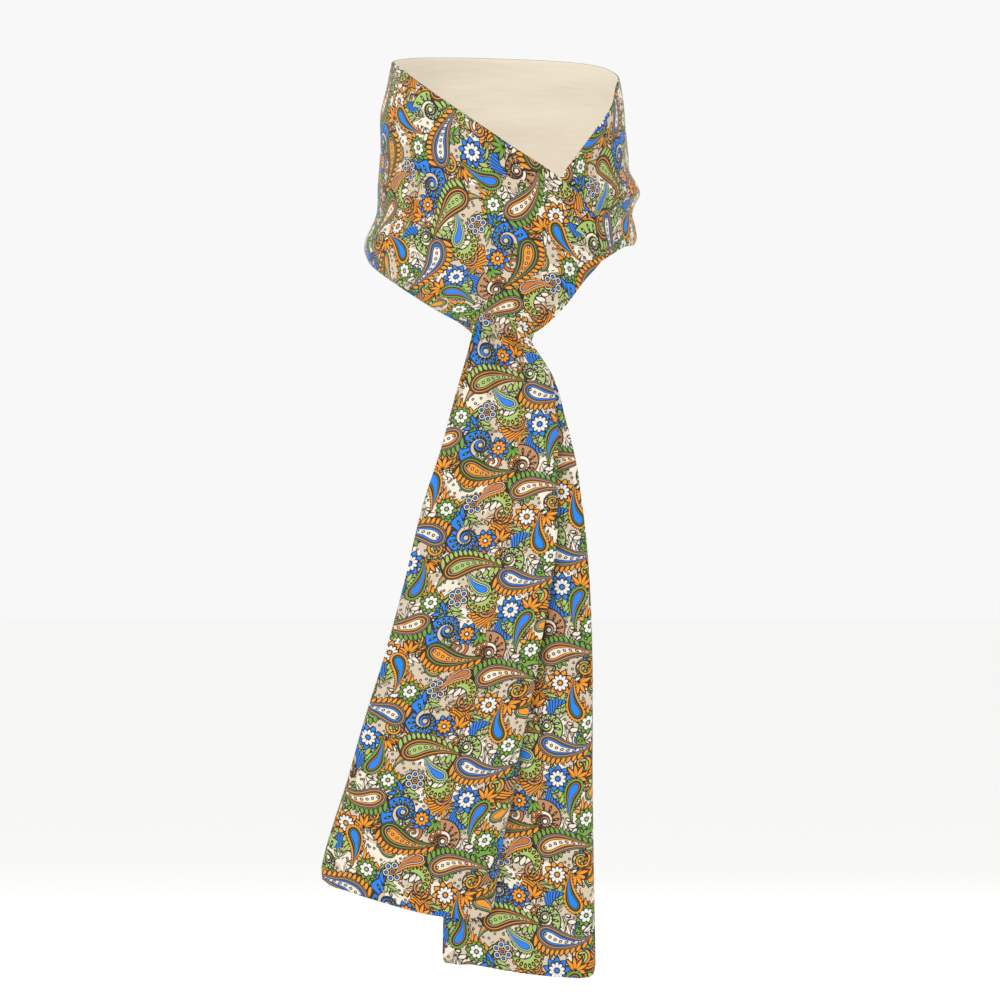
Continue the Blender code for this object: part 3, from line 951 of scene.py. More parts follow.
def patch(
    top: np.ndarray,
    bottom: np.ndarray,
    start: np.ndarray,
    end: np.ndarray,
    share: np.ndarray,
    along: np.ndarray,
) -> np.ndarray:
    """Fill a four-sided outline.

    Args:
        top: Outline at share 0, one point for each along.
        bottom: Outline at share 1.
        start: Outline at along 0, one point for each share.
        end: Outline at along 1.
        share: Shares from top to bottom.
        along: Shares from start to end.

    Returns:
        A grid of points that meets all four sides.
    """
    v, u = share[:, None, None], along[None, :, None]
    grid = (1 - v) * top[None] + v * bottom[None] + (1 - u) * start[:, None] + u * end[:, None]
    grid -= (1 - v) * ((1 - u) * top[0] + u * top[-1])
    grid -= v * ((1 - u) * bottom[0] + u * bottom[-1])
    return grid


class Held(Enum):
    """How a region of the cloth is held."""

    DRAPED = "draped"
    GATHERED = "gathered"
    FOLDED = "folded"
    HUNG = "hung"
    LAID = "laid"


@dataclass(frozen=True)
class Region:
    """One region of the tie: its flat size in millimetres, how it is held, what it stands for."""

    width: float
    length: float
    held: Held
    nodes: tuple[str, ...]
    slot: str = "printed_cloth"
    rests_on: tuple[str, ...] = ()

    def declare(self, item: bpy.types.Object) -> None:
        """Hide the parts of the frame that a piece stands for, and report it.

        Args:
            item: The piece.
        """
        flat = (self.width * MM, self.length * MM)
        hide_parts(*self.nodes)
        LOG.info("%s: %d faces", item.name, len(item.data.polygons))


@dataclass(frozen=True)
class Bend:
    """Where a piece passes from one body to the next, as two points in metres."""

    upper: str
    lower: str
    start: tuple[float, float, float]
    end: tuple[float, float, float]

    def join(self, item: bpy.types.Object) -> None:
        """Bake a piece's transform into its mesh."""
        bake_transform(item)


def plies(region: str) -> tuple[str, str, str]:
    """Names of a region's two plies and of the thread between them."""
    return (f"{region}_outer_ply", f"{region}_inner_ply", f"{region}_seam_thread")


def lay_print(mesh: bpy.types.Mesh, place: np.ndarray) -> None:
    """Write the cloth coordinates of a mesh.

    Args:
        mesh: The mesh.
        place: Across and along in metres, one row for each vertex or, for a sheet, for each point.
    """
    layer = mesh.uv_layers.new(name=PRINT_MAP)
    corners = np.empty(len(mesh.loops), np.int32)
    mesh.loops.foreach_get("vertex_index", corners)
    layer.data.foreach_set("uv", place[corners % len(place)].astype(np.float32).ravel())


@dataclass
class Cloth:
    """A closed sheet of cloth on a grid of points, first axis across, second along."""

    name: str
    points: np.ndarray
    start_along: float = 0.0
    thickness: float = CLOTH_THICKNESS
    soft_ends: tuple[bool, bool] = (False, False)
    face_out: float = 1.0

    def print_coordinates(self) -> np.ndarray:
        """Cloth coordinates at each point, at true scale, in metres.

        Returns:
            Across and along for each point of the grid.
        """
        rows, columns = self.points.shape[:2]
        middle = rows // 2
        steps = np.linalg.norm(np.diff(self.points, axis=0), axis=2)
        across = np.concatenate([np.zeros((1, columns)), np.cumsum(steps, axis=0)])
        across = across - across[middle] + CLOTH_WIDTH / 2
        forward = np.linalg.norm(np.diff(self.points[middle], axis=0), axis=1)
        along = self.start_along + np.concatenate([[0.0], np.cumsum(forward)])
        return np.stack([across, np.broadcast_to(along, across.shape)], axis=-1) * MM

    def end_along(self) -> float:
        """The cloth coordinate along at the last column, in millimetres."""
        return float(self.print_coordinates()[0, -1, 1] / MM)

    def normals(self) -> np.ndarray:
        """Unit normals of the grid, pointing out of the worn side.

        Returns:
            A direction for each point of the grid.
        """
        along = np.gradient(self.points, axis=1)
        across = np.gradient(self.points, axis=0)
        normals = np.cross(across, along) * self.face_out
        return normals / np.maximum(np.linalg.norm(normals, axis=2, keepdims=True), 1e-9)

    def half_thickness(self) -> np.ndarray:
        """Half the thickness at each point: full inside, pressed thin at turned edges.

        Returns:
            A value for each point of the grid, in millimetres.
        """
        columns = self.points.shape[1]
        place = self.print_coordinates() / MM
        across, along = place[:, columns // 2, 0], place[0, :, 1]
        inset = np.minimum(across - across[0], across[-1] - across)
        half = np.repeat(rolled(inset)[:, None], columns, axis=1)
        for soft, distance in zip(self.soft_ends, (along - along[0], along[-1] - along)):
            if soft:
                half = half * rolled(distance)[None, :]
        return half * self.thickness / 2

    def faces(self) -> tuple[np.ndarray, np.ndarray, np.ndarray]:
        """Faces of the closed sheet.

        Returns:
            Those of one side, those of both long edges and those of both ends.
        """
        rows, columns = self.points.shape[:2]
        size = rows * columns
        index = np.arange(size).reshape(rows, columns)
        corners = [index[:-1, :-1], index[1:, :-1], index[1:, 1:], index[:-1, 1:]]
        side = np.stack([c.ravel() for c in corners], axis=1)
        if self.face_out < 0:
            side = side[:, ::-1]
        edges = []
        for line, turned in (
            (index[0], True),
            (index[-1], False),
            (index[:, 0], False),
            (index[:, -1], True),
        ):
            quads = np.stack([line[:-1], line[1:], line[1:] + size, line[:-1] + size], axis=1)
            edges.append(quads[:, ::-1] if turned == (self.face_out > 0) else quads)
        return side, np.concatenate(edges[:2]), np.concatenate(edges[2:])

    def mark_butt_ends(self, mesh: bpy.types.Mesh) -> None:
        """Keep a crisp edge where a piece only meets the next, so that no seam is shaded there.

        Args:
            mesh: The closed sheet.
        """
        columns = self.points.shape[1]
        ends = np.empty(len(mesh.edges) * 2, np.int32)
        mesh.edges.foreach_get("vertices", ends)
        column = ends.reshape(-1, 2) % columns
        sharp = np.zeros(len(mesh.edges), bool)
        for soft, last in zip(self.soft_ends, (0, columns - 1)):
            if not soft:
                sharp |= (column == last).all(axis=1)
        mesh.edges.foreach_set("use_edge_sharp", sharp)

    def build(self, *materials: bpy.types.Material) -> bpy.types.Object:
        """Make the mesh and dress it.

        Args:
            *materials: The finish, and a second one for its hidden side if that differs.

        Returns:
            The object, in the row frame.
        """
        normals, half = self.normals(), self.half_thickness()[..., None]
        sides = [self.points + normals * half, self.points - normals * half]
        vertices = np.concatenate([side.reshape(-1, 3) for side in sides]) * MM
        side, long_edges, ends = self.faces()
        hidden_side = side[:, ::-1] + len(vertices) // 2
        faces = np.concatenate([side, hidden_side, long_edges, ends])
        mesh = bpy.data.meshes.new(self.name)
        mesh.from_pydata(vertices.tolist(), [], faces.tolist())
        number = np.arange(len(faces))
        mesh.polygons.foreach_set("use_smooth", number < len(faces) - len(ends))
        self.mark_butt_ends(mesh)
        lay_print(mesh, self.print_coordinates().reshape(-1, 2))
        for material in materials:
            mesh.materials.append(material)
        if len(materials) > 1:
            hidden = (number // len(side)) == 1
            mesh.polygons.foreach_set("material_index", hidden.astype(np.int32))
        item = bpy.data.objects.new(self.name, mesh)
        bpy.context.scene.collection.objects.link(item)
        return item


@dataclass
class NeckForm:
    """The oval that the cloth lies on, as half sizes at heights above the neck's base."""

    half_width: Stations = (
        (-50, 79), (-10, 78), (-1, 79), (6, 79), (13, 76), (20, 72.8), (37, 71.6),
        (60, 70), (80, 69.8), (94, 66.6), (109, 63.4),
    )
    half_depth: Stations = (
        (-50, 82), (-30, 78), (0, 70), (15, 68), (40, 66), (70, 64), (110, 62),
    )
    strand_half_width: Stations = (
        (-50, 75), (-4, 74), (10, 74.2), (16, 73), (22, 71.5), (28, 73.5), (34, 76),
        (40, 73.5), (45, 70.6), (56, 69.4), (68, 68.2), (80, 67.2), (90, 66), (99, 64.4),
    )

    def turn_at(self, x: np.ndarray, width: np.ndarray) -> np.ndarray:
        """Angle round the neck from the front, for a place across."""
        return np.arcsin(np.clip(x / width, -1, 1))

    def outward(self, turn: np.ndarray) -> np.ndarray:
        """Level directions out of the neck at angles from the front."""
        return np.stack([np.sin(turn), -np.cos(turn), 0 * turn], axis=-1)

    def place(
        self,
        turn: np.ndarray,
        z: np.ndarray,
        width: np.ndarray,
        behind: np.ndarray | float,
    ) -> np.ndarray:
        """Point of the oval.

        Args:
            turn: Angle from the front, in radians.
            z: Height.
            width: Half width there.
            behind: How far inside the outermost layer.

        Returns:
            The points.
        """
        depth = smooth(self.half_depth, z) - behind
        return np.stack([width * np.sin(turn), -depth * np.cos(turn), z], axis=-1)


@dataclass(frozen=True)
class Strip:
    """A strip of cloth that lies under the swath, by its two edges as (x, z)."""

    name: str
    upper: Stations
    lower: Stations
    behind: float
    grid: tuple[int, int]
    begins_at_side: bool
    start_along: float = 40.0


@dataclass
class NeckWrap:
    """The cloth round the neck: its back, the swath across the front and the strand beneath it."""

    finishes: tuple[bpy.types.Material, bpy.types.Material]
    form: NeckForm = field(default_factory=NeckForm)
    # Heights of the back's edges, by the angle from the front in degrees.
    back_top: Stations = ((90, 99), (130, 108), (180, 112), (230, 112), (270, 108.5))
    back_bottom: Stations = ((90, 9), (130, 11), (180, 12), (230, 8), (270, 0))
    # The swath's edges and the fold at its right end, as (x, z).
    swath_top: Stations = (
        (-63.4, 108.5), (-40, 91.4), (-18, 76), (6, 59.2), (31, 42.2),
        (42, 32.6), (50.5, 22), (55.5, 13.5), (57.8, 4.5),
    )
    swath_bottom: Stations = (
        (-79, 0), (-74.5, -7.7), (-70.6, -10.9), (-55, -22.4), (-35.5, -35), (-25, -41), (-18, -47),
    )
    swath_fold: Stations = (
        (57.8, 4.5), (56, -2), (44.5, -17), (30.8, -34), (16, -46.8), (5, -50), (-8, -50), (-18, -47),
    )
    swath_right_half_width: float = 79.0
    # Points across and along.
    back_grid: tuple[int, int] = (46, 110)
    swath_grid: tuple[int, int] = (48, 84)
    strand: Strip = Strip(
        name="Side_strand_cloth",
        upper=(
            (64.4, 98.8), (63.2, 96.6), (59.4, 82.9), (50.2, 69.2),
            (38.6, 53.2), (31, 42.8), (12, 16), (-8, -12),
        ),
        lower=((74.2, 9), (72.5, 5), (66, 3), (58, -2), (38, -16), (18, -29)),
        behind=4.5,
        grid=(40, 64),
        begins_at_side=True,
    )
    turned_end: Strip = Strip(
        name="Turned_back_cloth",
        upper=((50, 6), (30, 8), (10, 2), (-12, -10)),
        lower=((38, -20), (28, -25), (18, -28), (8, -29)),
        behind=9.0,
        grid=(18, 30),
        begins_at_side=False,
    )
    to_knot: Bend = Bend("neck_loop", "knot", (0, -0.07, 0.02), (0, -0.07, -0.045))

    def back(self) -> Cloth:
        """The part behind the neck.

        Returns:
            The cloth.
        """
        turn = np.linspace(90, 270, self.back_grid[1])
        share = edge_dense(self.back_grid[0])[:, None]
        top, bottom = smooth(self.back_top, turn), smooth(self.back_bottom, turn)
        z = top + (bottom - top) * share
        width_left = smooth(self.form.half_width, z)
        width_right = smooth(self.form.strand_half_width, z)
        mix = smooth(((90, 0), (150, 0.5), (210, 1), (270, 1)), turn)[None, :]
        width = width_right + (width_left - width_right) * mix
        angle = np.broadcast_to(np.radians(turn)[None, :], z.shape)
        points = self.form.place(angle, z, width, 0.0)
        # Shallow folds run round the neck and fade out towards both sides.
        middle = np.sin(np.radians(turn - 90))[None, :]
        folds = np.sin(share * 17 + angle * 1.5) * 0.9 + np.sin(share * 31 - angle * 2.3) * 0.35
        points = points + self.form.outward(angle) * (folds * middle)[..., None]
        return Cloth("Neck_back_cloth", points, 0.0)

    def swath_half_width(self, across: np.ndarray, z: np.ndarray) -> np.ndarray:
        """Half width under the swath: the form's on the left, one width on the right.

        Args:
            across: Place across, or angle; only its sign counts.
            z: Heights.

        Returns:
            The half widths.
        """
        return np.where(across < 0, smooth(self.form.half_width, z), self.swath_right_half_width)

    def swath(self, start_along: float) -> Cloth:
        """The swath that crosses the front and turns back at its right end.

        Args:
            start_along: Cloth coordinate where it starts.

        Returns:
            The cloth.
        """
        share, along = edge_dense(self.swath_grid[0]), np.linspace(0, 1, self.swath_grid[1])
        top, bottom = along_run(self.swath_top, along), along_run(self.swath_bottom, along)
        end = along_run(self.swath_fold, share)
        side_z = top[0, 1] + (bottom[0, 1] - top[0, 1]) * share

        def turned(line: np.ndarray) -> np.ndarray:
            """Swap a line's place across for its angle round the neck."""
            reach = self.swath_half_width(line[:, 0], line[:, 1])
            return np.stack([self.form.turn_at(line[:, 0], reach), line[:, 1]], axis=-1)

        start = np.stack([np.full(len(share), -math.pi / 2), side_z], axis=-1)
        grid = patch(turned(top), turned(bottom), start, turned(end), share, along)
        turn, z = grid[..., 0], grid[..., 1]
        points = self.form.place(turn, z, self.swath_half_width(turn, z), 0.0)
        folds = self.swath_folds(along[None, :], share[:, None])
        points = points + self.form.outward(turn) * folds[..., None]
        return Cloth("Front_swath_cloth", points, start_along, soft_ends=(False, True))

    def swath_folds(self, u: np.ndarray, v: np.ndarray) -> np.ndarray:
        """Soft folds that run with the cloth and draw together towards the knot.

        Args:
            u: Shares from the side to the fold at the right end.
            v: Shares from the upper edge to the lower.

        Returns:
            How far the cloth stands out, in millimetres.
        """
        to_knot = 2.1 * np.sin(v * 15.0 + 0.7 + 0.8 * u) * u**1.6 * np.clip((v - 0.22) * 2.2, 0, 1)
        across_front = 0.7 * np.sin(v * 9.0 + u * 4.0) * np.sin(u * math.pi) ** 0.5
        lower_roll = 1.2 * np.exp(-(((v - 0.86 + 0.1 * u) / 0.06) ** 2)) * (1 - u)
        fade_in = np.sin(np.clip(u * 6, 0, math.pi / 2))
        return (to_knot + across_front + lower_roll) * fade_in

    def strip(self, plan: Strip) -> Cloth:
        """A strip of cloth lying under the swath.

        Args:
            plan: Its name, edges and depth.

        Returns:
            The cloth.
        """
        share, along = edge_dense(plan.grid[0]), np.linspace(0, 1, plan.grid[1])

        def turned(stations: Stations) -> np.ndarray:
            """Swap the places across for angles round the neck.

            Args:
                stations: The line as (x, z).

            Returns:
                The line as angle and height.
            """
            line = along_run(stations, along)
            reach = smooth(self.form.strand_half_width, line[:, 1])
            return np.stack([self.form.turn_at(line[:, 0], reach), line[:, 1]], axis=-1)

        top, bottom = turned(plan.upper), turned(plan.lower)
        behind = np.full((1, len(along)), plan.behind)
        if plan.begins_at_side:
            for edge in (top, bottom):
                edge[:, 0] += (math.pi / 2 - edge[0, 0]) * (1 - along) ** 3
            behind = behind * np.clip(along * 3, 0, 1)[None, :]
        start = top[0] + (bottom[0] - top[0]) * share[:, None]
        end = top[-1] + (bottom[-1] - top[-1]) * share[:, None]
        grid = patch(top, bottom, start, end, share, along)
        turn, z = grid[..., 0], grid[..., 1]
        points = self.form.place(turn, z, smooth(self.form.strand_half_width, z), behind)
        folds = np.sin(share[:, None] * 13 + 1.0) * np.sin(along * math.pi)[None, :]
        points = points + self.form.outward(turn) * folds[..., None]
        return Cloth(plan.name, points, plan.start_along, face_out=-1.0)

    def build(self) -> None:
        """Make, dress and declare every piece."""
        back = self.back()
        item = back.build(*self.finishes)
        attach(item, "neck_loop")
        Region(CLOTH_WIDTH, 215, Held.DRAPED, plies("neck_back")).declare(item)
        strand_nodes = (*plies("side_strand")[:2], "strand_inside_knot")
        for cloth, region in (
            (self.swath(back.end_along()), Region(CLOTH_WIDTH, 150, Held.GATHERED, plies("front_swath"))),
            (self.strip(self.strand), Region(82, 120, Held.GATHERED, strand_nodes)),
            (self.strip(self.turned_end), Region(34, 50, Held.FOLDED, ("swath_turned_end",))),
        ):
            item = cloth.build(*self.finishes)
            self.to_knot.join(item)
            region.declare(item)


@dataclass
class Knot:
    """The turn of cloth that grips the strand, hidden at the front by the tongue."""

    finishes: tuple[bpy.types.Material, bpy.types.Material]
    centre: tuple[float, float] = (-1.0, -66.0)
    half_width: float = 16.5
    half_depth: float = 8.6
    top: float = -31.0
    bottom: float = -55.0
    belly: float = 3.2
    pleats: int = 3
    pleat_depth: float = 0.55
    grid: tuple[int, int] = (52, 110)
    start_along: float = 300.0

    def build(self) -> None:
        share = edge_dense(self.grid[0])
        around = np.linspace(0, math.tau, self.grid[1])[None, :]
        slant = 1.6 * np.sin(around) + 0.8 * np.sin(2 * around + 0.9)
        bulge = np.sin(share * math.pi)[:, None]
        z = self.top + (self.bottom - self.top) * share[:, None] + slant * bulge
        full = np.sqrt(np.sin(np.clip(share, 0.03, 0.97) * math.pi))[:, None]
        # The cloth is gathered as it goes round, so its pleats run on a slant and fade in and out.
        phase = share[:, None] * math.tau * self.pleats + 0.9 * np.sin(around)
        pleat = self.pleat_depth * np.sin(phase) * (0.75 + 0.25 * np.sin(2 * around + 1.1))
        grow = (full - 1) * self.belly + pleat
        x = self.centre[0] + (self.half_width + grow) * np.sin(around)
        y = self.centre[1] - (self.half_depth + grow) * np.cos(around)
        cloth = Cloth("Knot_turn_cloth", np.stack([x, y, z], axis=-1), self.start_along)
        item = cloth.build(*self.finishes)
        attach(item, "knot")
        Region(26, 82, Held.GATHERED, ("knot_turn",)).declare(item)


@dataclass
class Tail:
    """A tail of the tie: its outline and depth by height, and how it is folded."""

    finishes: tuple[bpy.types.Material, bpy.types.Material]
    # Both edges and the depth by height, and the height of the cut end by the share across.
    left: Stations
    right: Stations
    depth: Stations
    cut: Stations
    behind: float = 0.0
    pleat: float = 1.9
    ripple: float = 0.8
    phase: float = 0.0
    # Height below which the gathers open out, and the drop in which they fade.
    gathers_from: float = -54.0
    gathers_fade: float = 55.0
    points_across: int = 44
    start_along: float = 0.0

    def surface(self, share: np.ndarray, z: np.ndarray) -> np.ndarray:
        """Points of the tail.

        Args:
            share: Shares across, from the left edge to the right.
            z: Heights, one for each point.

        Returns:
            The points.
        """
        left, right = smooth(self.left, z), smooth(self.right, z)
        x = left + (right - left) * share
        drop = np.clip(self.gathers_from - z, 0, None)
        gathered = np.exp(-drop / self.gathers_fade)
        # Pleats radiate from the knot and open out on the way down into two slow ripples.
        fold = self.pleat * gathered * np.sin(share * 19.0 + self.phase)
        slow = np.sin(share * 7.4 + z / 70 + self.phase)
        fold += self.ripple * slow * (1 - gathered * 0.6)
        fold += 0.5 * self.ripple * np.sin(share * 12.5 - z / 42 + self.phase)
        curl = 1.6 * np.abs(2 * share - 1) ** 5 * (1 - gathered)
        y = smooth(self.depth, z) + self.behind + fold + curl
        return np.stack([x, y, z], axis=-1)

    def piece(self, name: str, top: float, bottom: float | None, start_along: float) -> Cloth:
        """A length of the tail.

        Args:
            name: The piece's name.
            top: Height of its upper end.
            bottom: Height of its lower end, or None for the cut end.
            start_along: Cloth coordinate where it starts.

        Returns:
            The cloth.
        """
        share = edge_dense(self.points_across)
        lowest = smooth(self.cut, 0.5) if bottom is None else bottom
        rows = max(int((top - lowest) / GRID_STEP), 6)
        along = np.linspace(0, 1, rows)
        if bottom is None:
            turned_in = np.array([3.0, 1.8, 0.9, 0.3, 0.0]) / (top - lowest)
            along = np.concatenate([np.linspace(0, 1 - turned_in[0], rows)[:-1], 1 - turned_in])
        ends = smooth(self.cut, share) if bottom is None else np.full(len(share), bottom)
        z = top + (ends[:, None] - top) * along[None, :]
        points = self.surface(np.broadcast_to(share[:, None], z.shape), z)
        soft_ends = (False, bottom is None)
        return Cloth(name, points, start_along, soft_ends=soft_ends, face_out=-1.0)

    def finish(self, cloth: Cloth, bend: Bend, region: Region) -> None:
        """Make, dress and declare one piece.

        Args:
            cloth: Its cloth.
            bend: Where it bends.
            region: What it is.
        """
        item = cloth.build(*self.finishes)
        bend.join(item)
        region.declare(item)


@dataclass
class FrontTail(Tail):
    """The tail on top, with the tongue where it comes out over the swath."""

    left: Stations = (
        (-46, -18), (-50, -19), (-56, -20.5), (-70, -24.6), (-84, -28.6), (-113, -36.4), (-140, -45.2),
        (-188, -56.8), (-229, -68), (-264, -79), (-296, -88), (-338, -101), (-354, -104.5),
    )
    right: Stations = (
        (-46, 12.5), (-50, 14.2), (-56, 17.5), (-66, 24), (-76, 27), (-88, 28.6), (-140, 29.3),
        (-153, 29.5), (-174, 28), (-190, 25.6), (-221, 20.2), (-244, 16.8), (-264, 12), (-296, 6.8),
        (-334, -1.6), (-374, -7),
    )
    depth: Stations = (
        (-30, -84.5), (-46, -86), (-60, -87.4), (-100, -95.8), (-150, -105.5),
        (-200, -110.6), (-262, -114), (-374, -116),
    )
    cut: Stations = (
        (0, -345), (0.012, -350), (0.05, -354), (0.16, -358.5), (0.35, -364.5),
        (0.72, -373), (0.9, -373.6), (0.965, -372), (0.99, -369), (1, -365),
    )
    # Height of the tongue's rounded top, by the share across.
    crown: Stations = (
        (0, -39.5), (0.1, -36), (0.3, -35), (0.5, -36.6), (0.75, -39.5), (0.9, -43.5), (1, -48),
    )
    start_along: float = 470.0
    # Heights where one piece ends and the next begins.
    tongue_end: float = -70.0
    top_end: float = -112.0
    middle_end: float = -206.0
    # The tongue rolls over at its top, and swells a little this far below it.
    roll_height: float = 4.5
    roll_depth: float = 3.4
    swell: float = 0.6
    swell_below: float = 7.0
    swell_reach: float = 6.0

    def tongue(self) -> Cloth:
        """The rounded top, from over the swath down to the gathers.

        Returns:
            The cloth.
        """
        share = edge_dense(30)
        along = np.concatenate([np.linspace(0, 0.25, 14)[:-1], np.linspace(0.25, 1, 16)])
        crown = smooth(self.crown, share)
        z = crown[:, None] + (self.tongue_end - crown[:, None]) * along[None, :]
        points = self.surface(np.broadcast_to(share[:, None], z.shape), z)
        below = crown[:, None] - z
        roll = np.clip(1 - below / self.roll_height, 0, 1)
        points[..., 1] += self.roll_depth * (1 - np.sqrt(np.clip(1 - roll**2, 0, 1)))
        away = (below - self.swell_below) / self.swell_reach
        points[..., 1] -= self.swell * np.exp(-(away**2))
        name = "Front_tail_tongue_cloth"
        return Cloth(name, points, self.start_along, soft_ends=(True, False), face_out=-1.0)

    def build(self) -> None:
        """Make, dress and declare every piece, from the tongue down."""
        tongue = self.tongue()
        bend = Bend("knot", "tail_gathers", (0, -0.087, -0.046), (0, -0.087, -0.064))
        region = Region(44, 34, Held.GATHERED, ("knot_tongue", "front_tail_gathers"))
        self.finish(tongue, bend, region)
        top = self.piece("Front_tail_top_cloth", self.tongue_end, self.top_end, tongue.end_along())
        bend = Bend("tail_gathers", "front_tail_top", (0, -0.09, -0.07), (0, -0.098, -0.108))
        self.finish(top, bend, Region(75, 44, Held.GATHERED, plies("front_tail_top")))
        middle = self.piece("Front_tail_middle_cloth", self.top_end, self.middle_end, top.end_along())
        bend = Bend("front_tail_top", "front_tail_middle", (0, -0.103, -0.128), (0, -0.107, -0.172))
        self.finish(middle, bend, Region(88, 95, Held.HUNG, plies("front_tail_middle")))
        end = self.piece("Front_tail_end_cloth", self.middle_end, None, middle.end_along())
        bend = Bend("front_tail_middle", "front_tail_end", (0, -0.113, -0.240), (0, -0.1145, -0.284))
        nodes = (*plies("front_tail_end"), "front_tail_hem_thread")
        self.finish(end, bend, Region(96, 164, Held.HUNG, nodes))


@dataclass
class Stitches:
    """A row of short hand stitches along a line."""

    name: str
    line: np.ndarray
    pitch: float
    node: str
    thread: bpy.types.Material
    # Half the thickness of the thread, how far a stitch rises, and the share of the pitch it takes.
    radius: float = 0.17
    rise: float = 0.16
    takes: tuple[float, float] = (0.12, 0.88)
    # Corners round the thread, and rings along a stitch.
    sides: int = 6
    rings: int = 7

    def stitch(self, number: int, at: np.ndarray) -> np.ndarray:
        """Points of one stitch, ring after ring.

        Args:
            number: Which stitch of the row it is.
            at: How far along the line each of its points is.

        Returns:
            The points.
        """
        reach = (number + np.linspace(*self.takes, self.rings)) * self.pitch
        middle = np.stack([np.interp(reach, at, self.line[:, k]) for k in range(3)], axis=-1)
        bow = np.sin(np.linspace(0, math.pi, self.rings))
        middle[:, 1] += self.rise * bow
        size = (self.radius * (0.35 + 0.65 * bow**0.5))[:, None]
        angle = (math.tau * np.arange(self.sides) / self.sides)[None, :]
        ring = np.stack([0 * size * angle, np.cos(angle) * size, np.sin(angle) * size], axis=-1)
        return (middle[:, None] + ring).reshape(-1, 3)

    def faces(self, base: int) -> list[tuple[int, ...]]:
        """Faces of one stitch.

        Args:
            base: Number of its first vertex.

        Returns:
            The faces.
        """
        found = []
        for ring in range(self.rings - 1):
            for side in range(self.sides):
                a = base + ring * self.sides + side
                b = base + ring * self.sides + (side + 1) % self.sides
                found.append((a, b, b + self.sides, a + self.sides))
        last = base + (self.rings - 1) * self.sides
        found.append(tuple(base + side for side in reversed(range(self.sides))))
        found.append(tuple(last + side for side in range(self.sides)))
        return found

    def build(self) -> None:
        steps = np.linalg.norm(np.diff(self.line, axis=0), axis=1)
        at = np.concatenate([[0.0], np.cumsum(steps)])
        count = int(at[-1] / self.pitch)
        vertices = np.concatenate([self.stitch(number, at) for number in range(count)])
        size = self.rings * self.sides
        faces = [face for number in range(count) for face in self.faces(number * size)]
        mesh = bpy.data.meshes.new(self.name)
        mesh.from_pydata((vertices * MM).tolist(), [], faces)
        mesh.polygons.foreach_set("use_smooth", [True] * len(faces))
        lay_print(mesh, vertices[:, (0, 2)] * MM)
        mesh.materials.append(self.thread)
        item = bpy.data.objects.new(self.name, mesh)
        bpy.context.scene.collection.objects.link(item)
        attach(item, "rear_tail")
        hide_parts(self.node)
        LOG.info("%s: %d stitches", self.name, count)


@dataclass
class RearTail(Tail):
    """The longer tail behind, with the care label on its back."""

    tape: bpy.types.Material | None = None
    thread: bpy.types.Material | None = None
    left: Stations = ((-50, -11), (-80, -15), (-150, -23), (-260, -31), (-398, -35), (-410, -35.2))
    right: Stations = (
        (-50, 14), (-56, 17), (-66, 24.5), (-78, 29.7), (-93, 33.6), (-108, 37.5), (-123, 40.6),
        (-138, 42.6), (-153, 44.6), (-173, 46.5), (-202, 48.2), (-234, 49), (-296, 49), (-354, 49.8),
        (-398, 50.6), (-410, 50.6),
    )
    depth: Stations = ((-30, -85), *FrontTail.depth[1:], (-410, -116.5))
    cut: Stations = (
        (0, -395), (0.01, -398), (0.04, -399), (0.2, -400), (0.4, -403), (0.6, -405.6),
        (0.8, -407), (0.93, -407.2), (0.975, -406), (0.993, -403.5), (1, -400),
    )
    behind: float = 6.0
    pleat: float = 1.3
    ripple: float = 0.7
    phase: float = 2.1
    start_along: float = 500.0
    top: float = -50.0
    top_end: float = -72.0
    # The care label: its size and middle across and up, and the length of a stitch and its gap.
    label_size: tuple[float, float] = (32.0, 18.0)
    label_at: tuple[float, float] = (8.0, -330.0)
    label_thickness: float = 0.35
    label_stitch: float = 2.2
    # The stitches of the closed end: their pitch, their height above it and their stretch across.
    closing_stitch: float = 3.2
    closing_height: float = 2.2
    closing_span: tuple[float, float] = (0.2, 0.75)

    def label(self) -> None:
        """The care label and the row of thread along its top edge."""
        width, height = self.label_size
        share = np.linspace(0, 1, 19)[:, None]
        along = np.linspace(0, 1, 11)[None, :]
        x = self.label_at[0] + (share - 0.5) * width + 0 * along
        z = self.label_at[1] + (0.5 - along) * height + 0 * x
        left, right = smooth(self.left, z), smooth(self.right, z)
        points = self.surface((x - left) / (right - left), z)
        points[..., 1] += CLOTH_THICKNESS / 2 + self.label_thickness
        tape = Cloth("Care_label_tape", points, 0.0, thickness=self.label_thickness)
        item = tape.build(self.tape)
        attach(item, "rear_tail")
        nodes = ("care_label",)
        label = Region(width, height, Held.LAID, nodes, "label_tape", ("Rear_tail_cloth",))
        label.declare(item)
        line = points[1:-1, 1] + (0, self.label_thickness, 0)
        node = "care_label_thread"
        Stitches("Care_label_stitches", line, self.label_stitch, node, self.thread).build()

    def closing_stitches(self) -> None:
        """The row of stitches that closes the cut end, on the back."""
        share = np.linspace(*self.closing_span, 60)
        z = smooth(self.cut, share) + self.closing_height
        line = self.surface(share, z) + (0, CLOTH_THICKNESS / 2 + 0.12, 0)
        node = "rear_tail_hem_thread"
        Stitches("Closing_stitches", line, self.closing_stitch, node, self.thread).build()

    def build(self) -> None:
        """Make, dress and declare every piece."""
        top = self.piece("Rear_tail_gathers_cloth", self.top, self.top_end, self.start_along)
        bend = Bend("knot", "tail_gathers", (0, -0.081, -0.050), (0, -0.082, -0.064))
        self.finish(top, bend, Region(45, 24, Held.GATHERED, ("rear_tail_gathers",)))
        tail = self.piece("Rear_tail_cloth", self.top_end, None, top.end_along())
        bend = Bend("tail_gathers", "rear_tail", (0, -0.085, -0.072), (0, -0.092, -0.112))
        self.finish(tail, bend, Region(86, 335, Held.HUNG, plies("rear_tail")))
        self.label()
        self.closing_stitches()


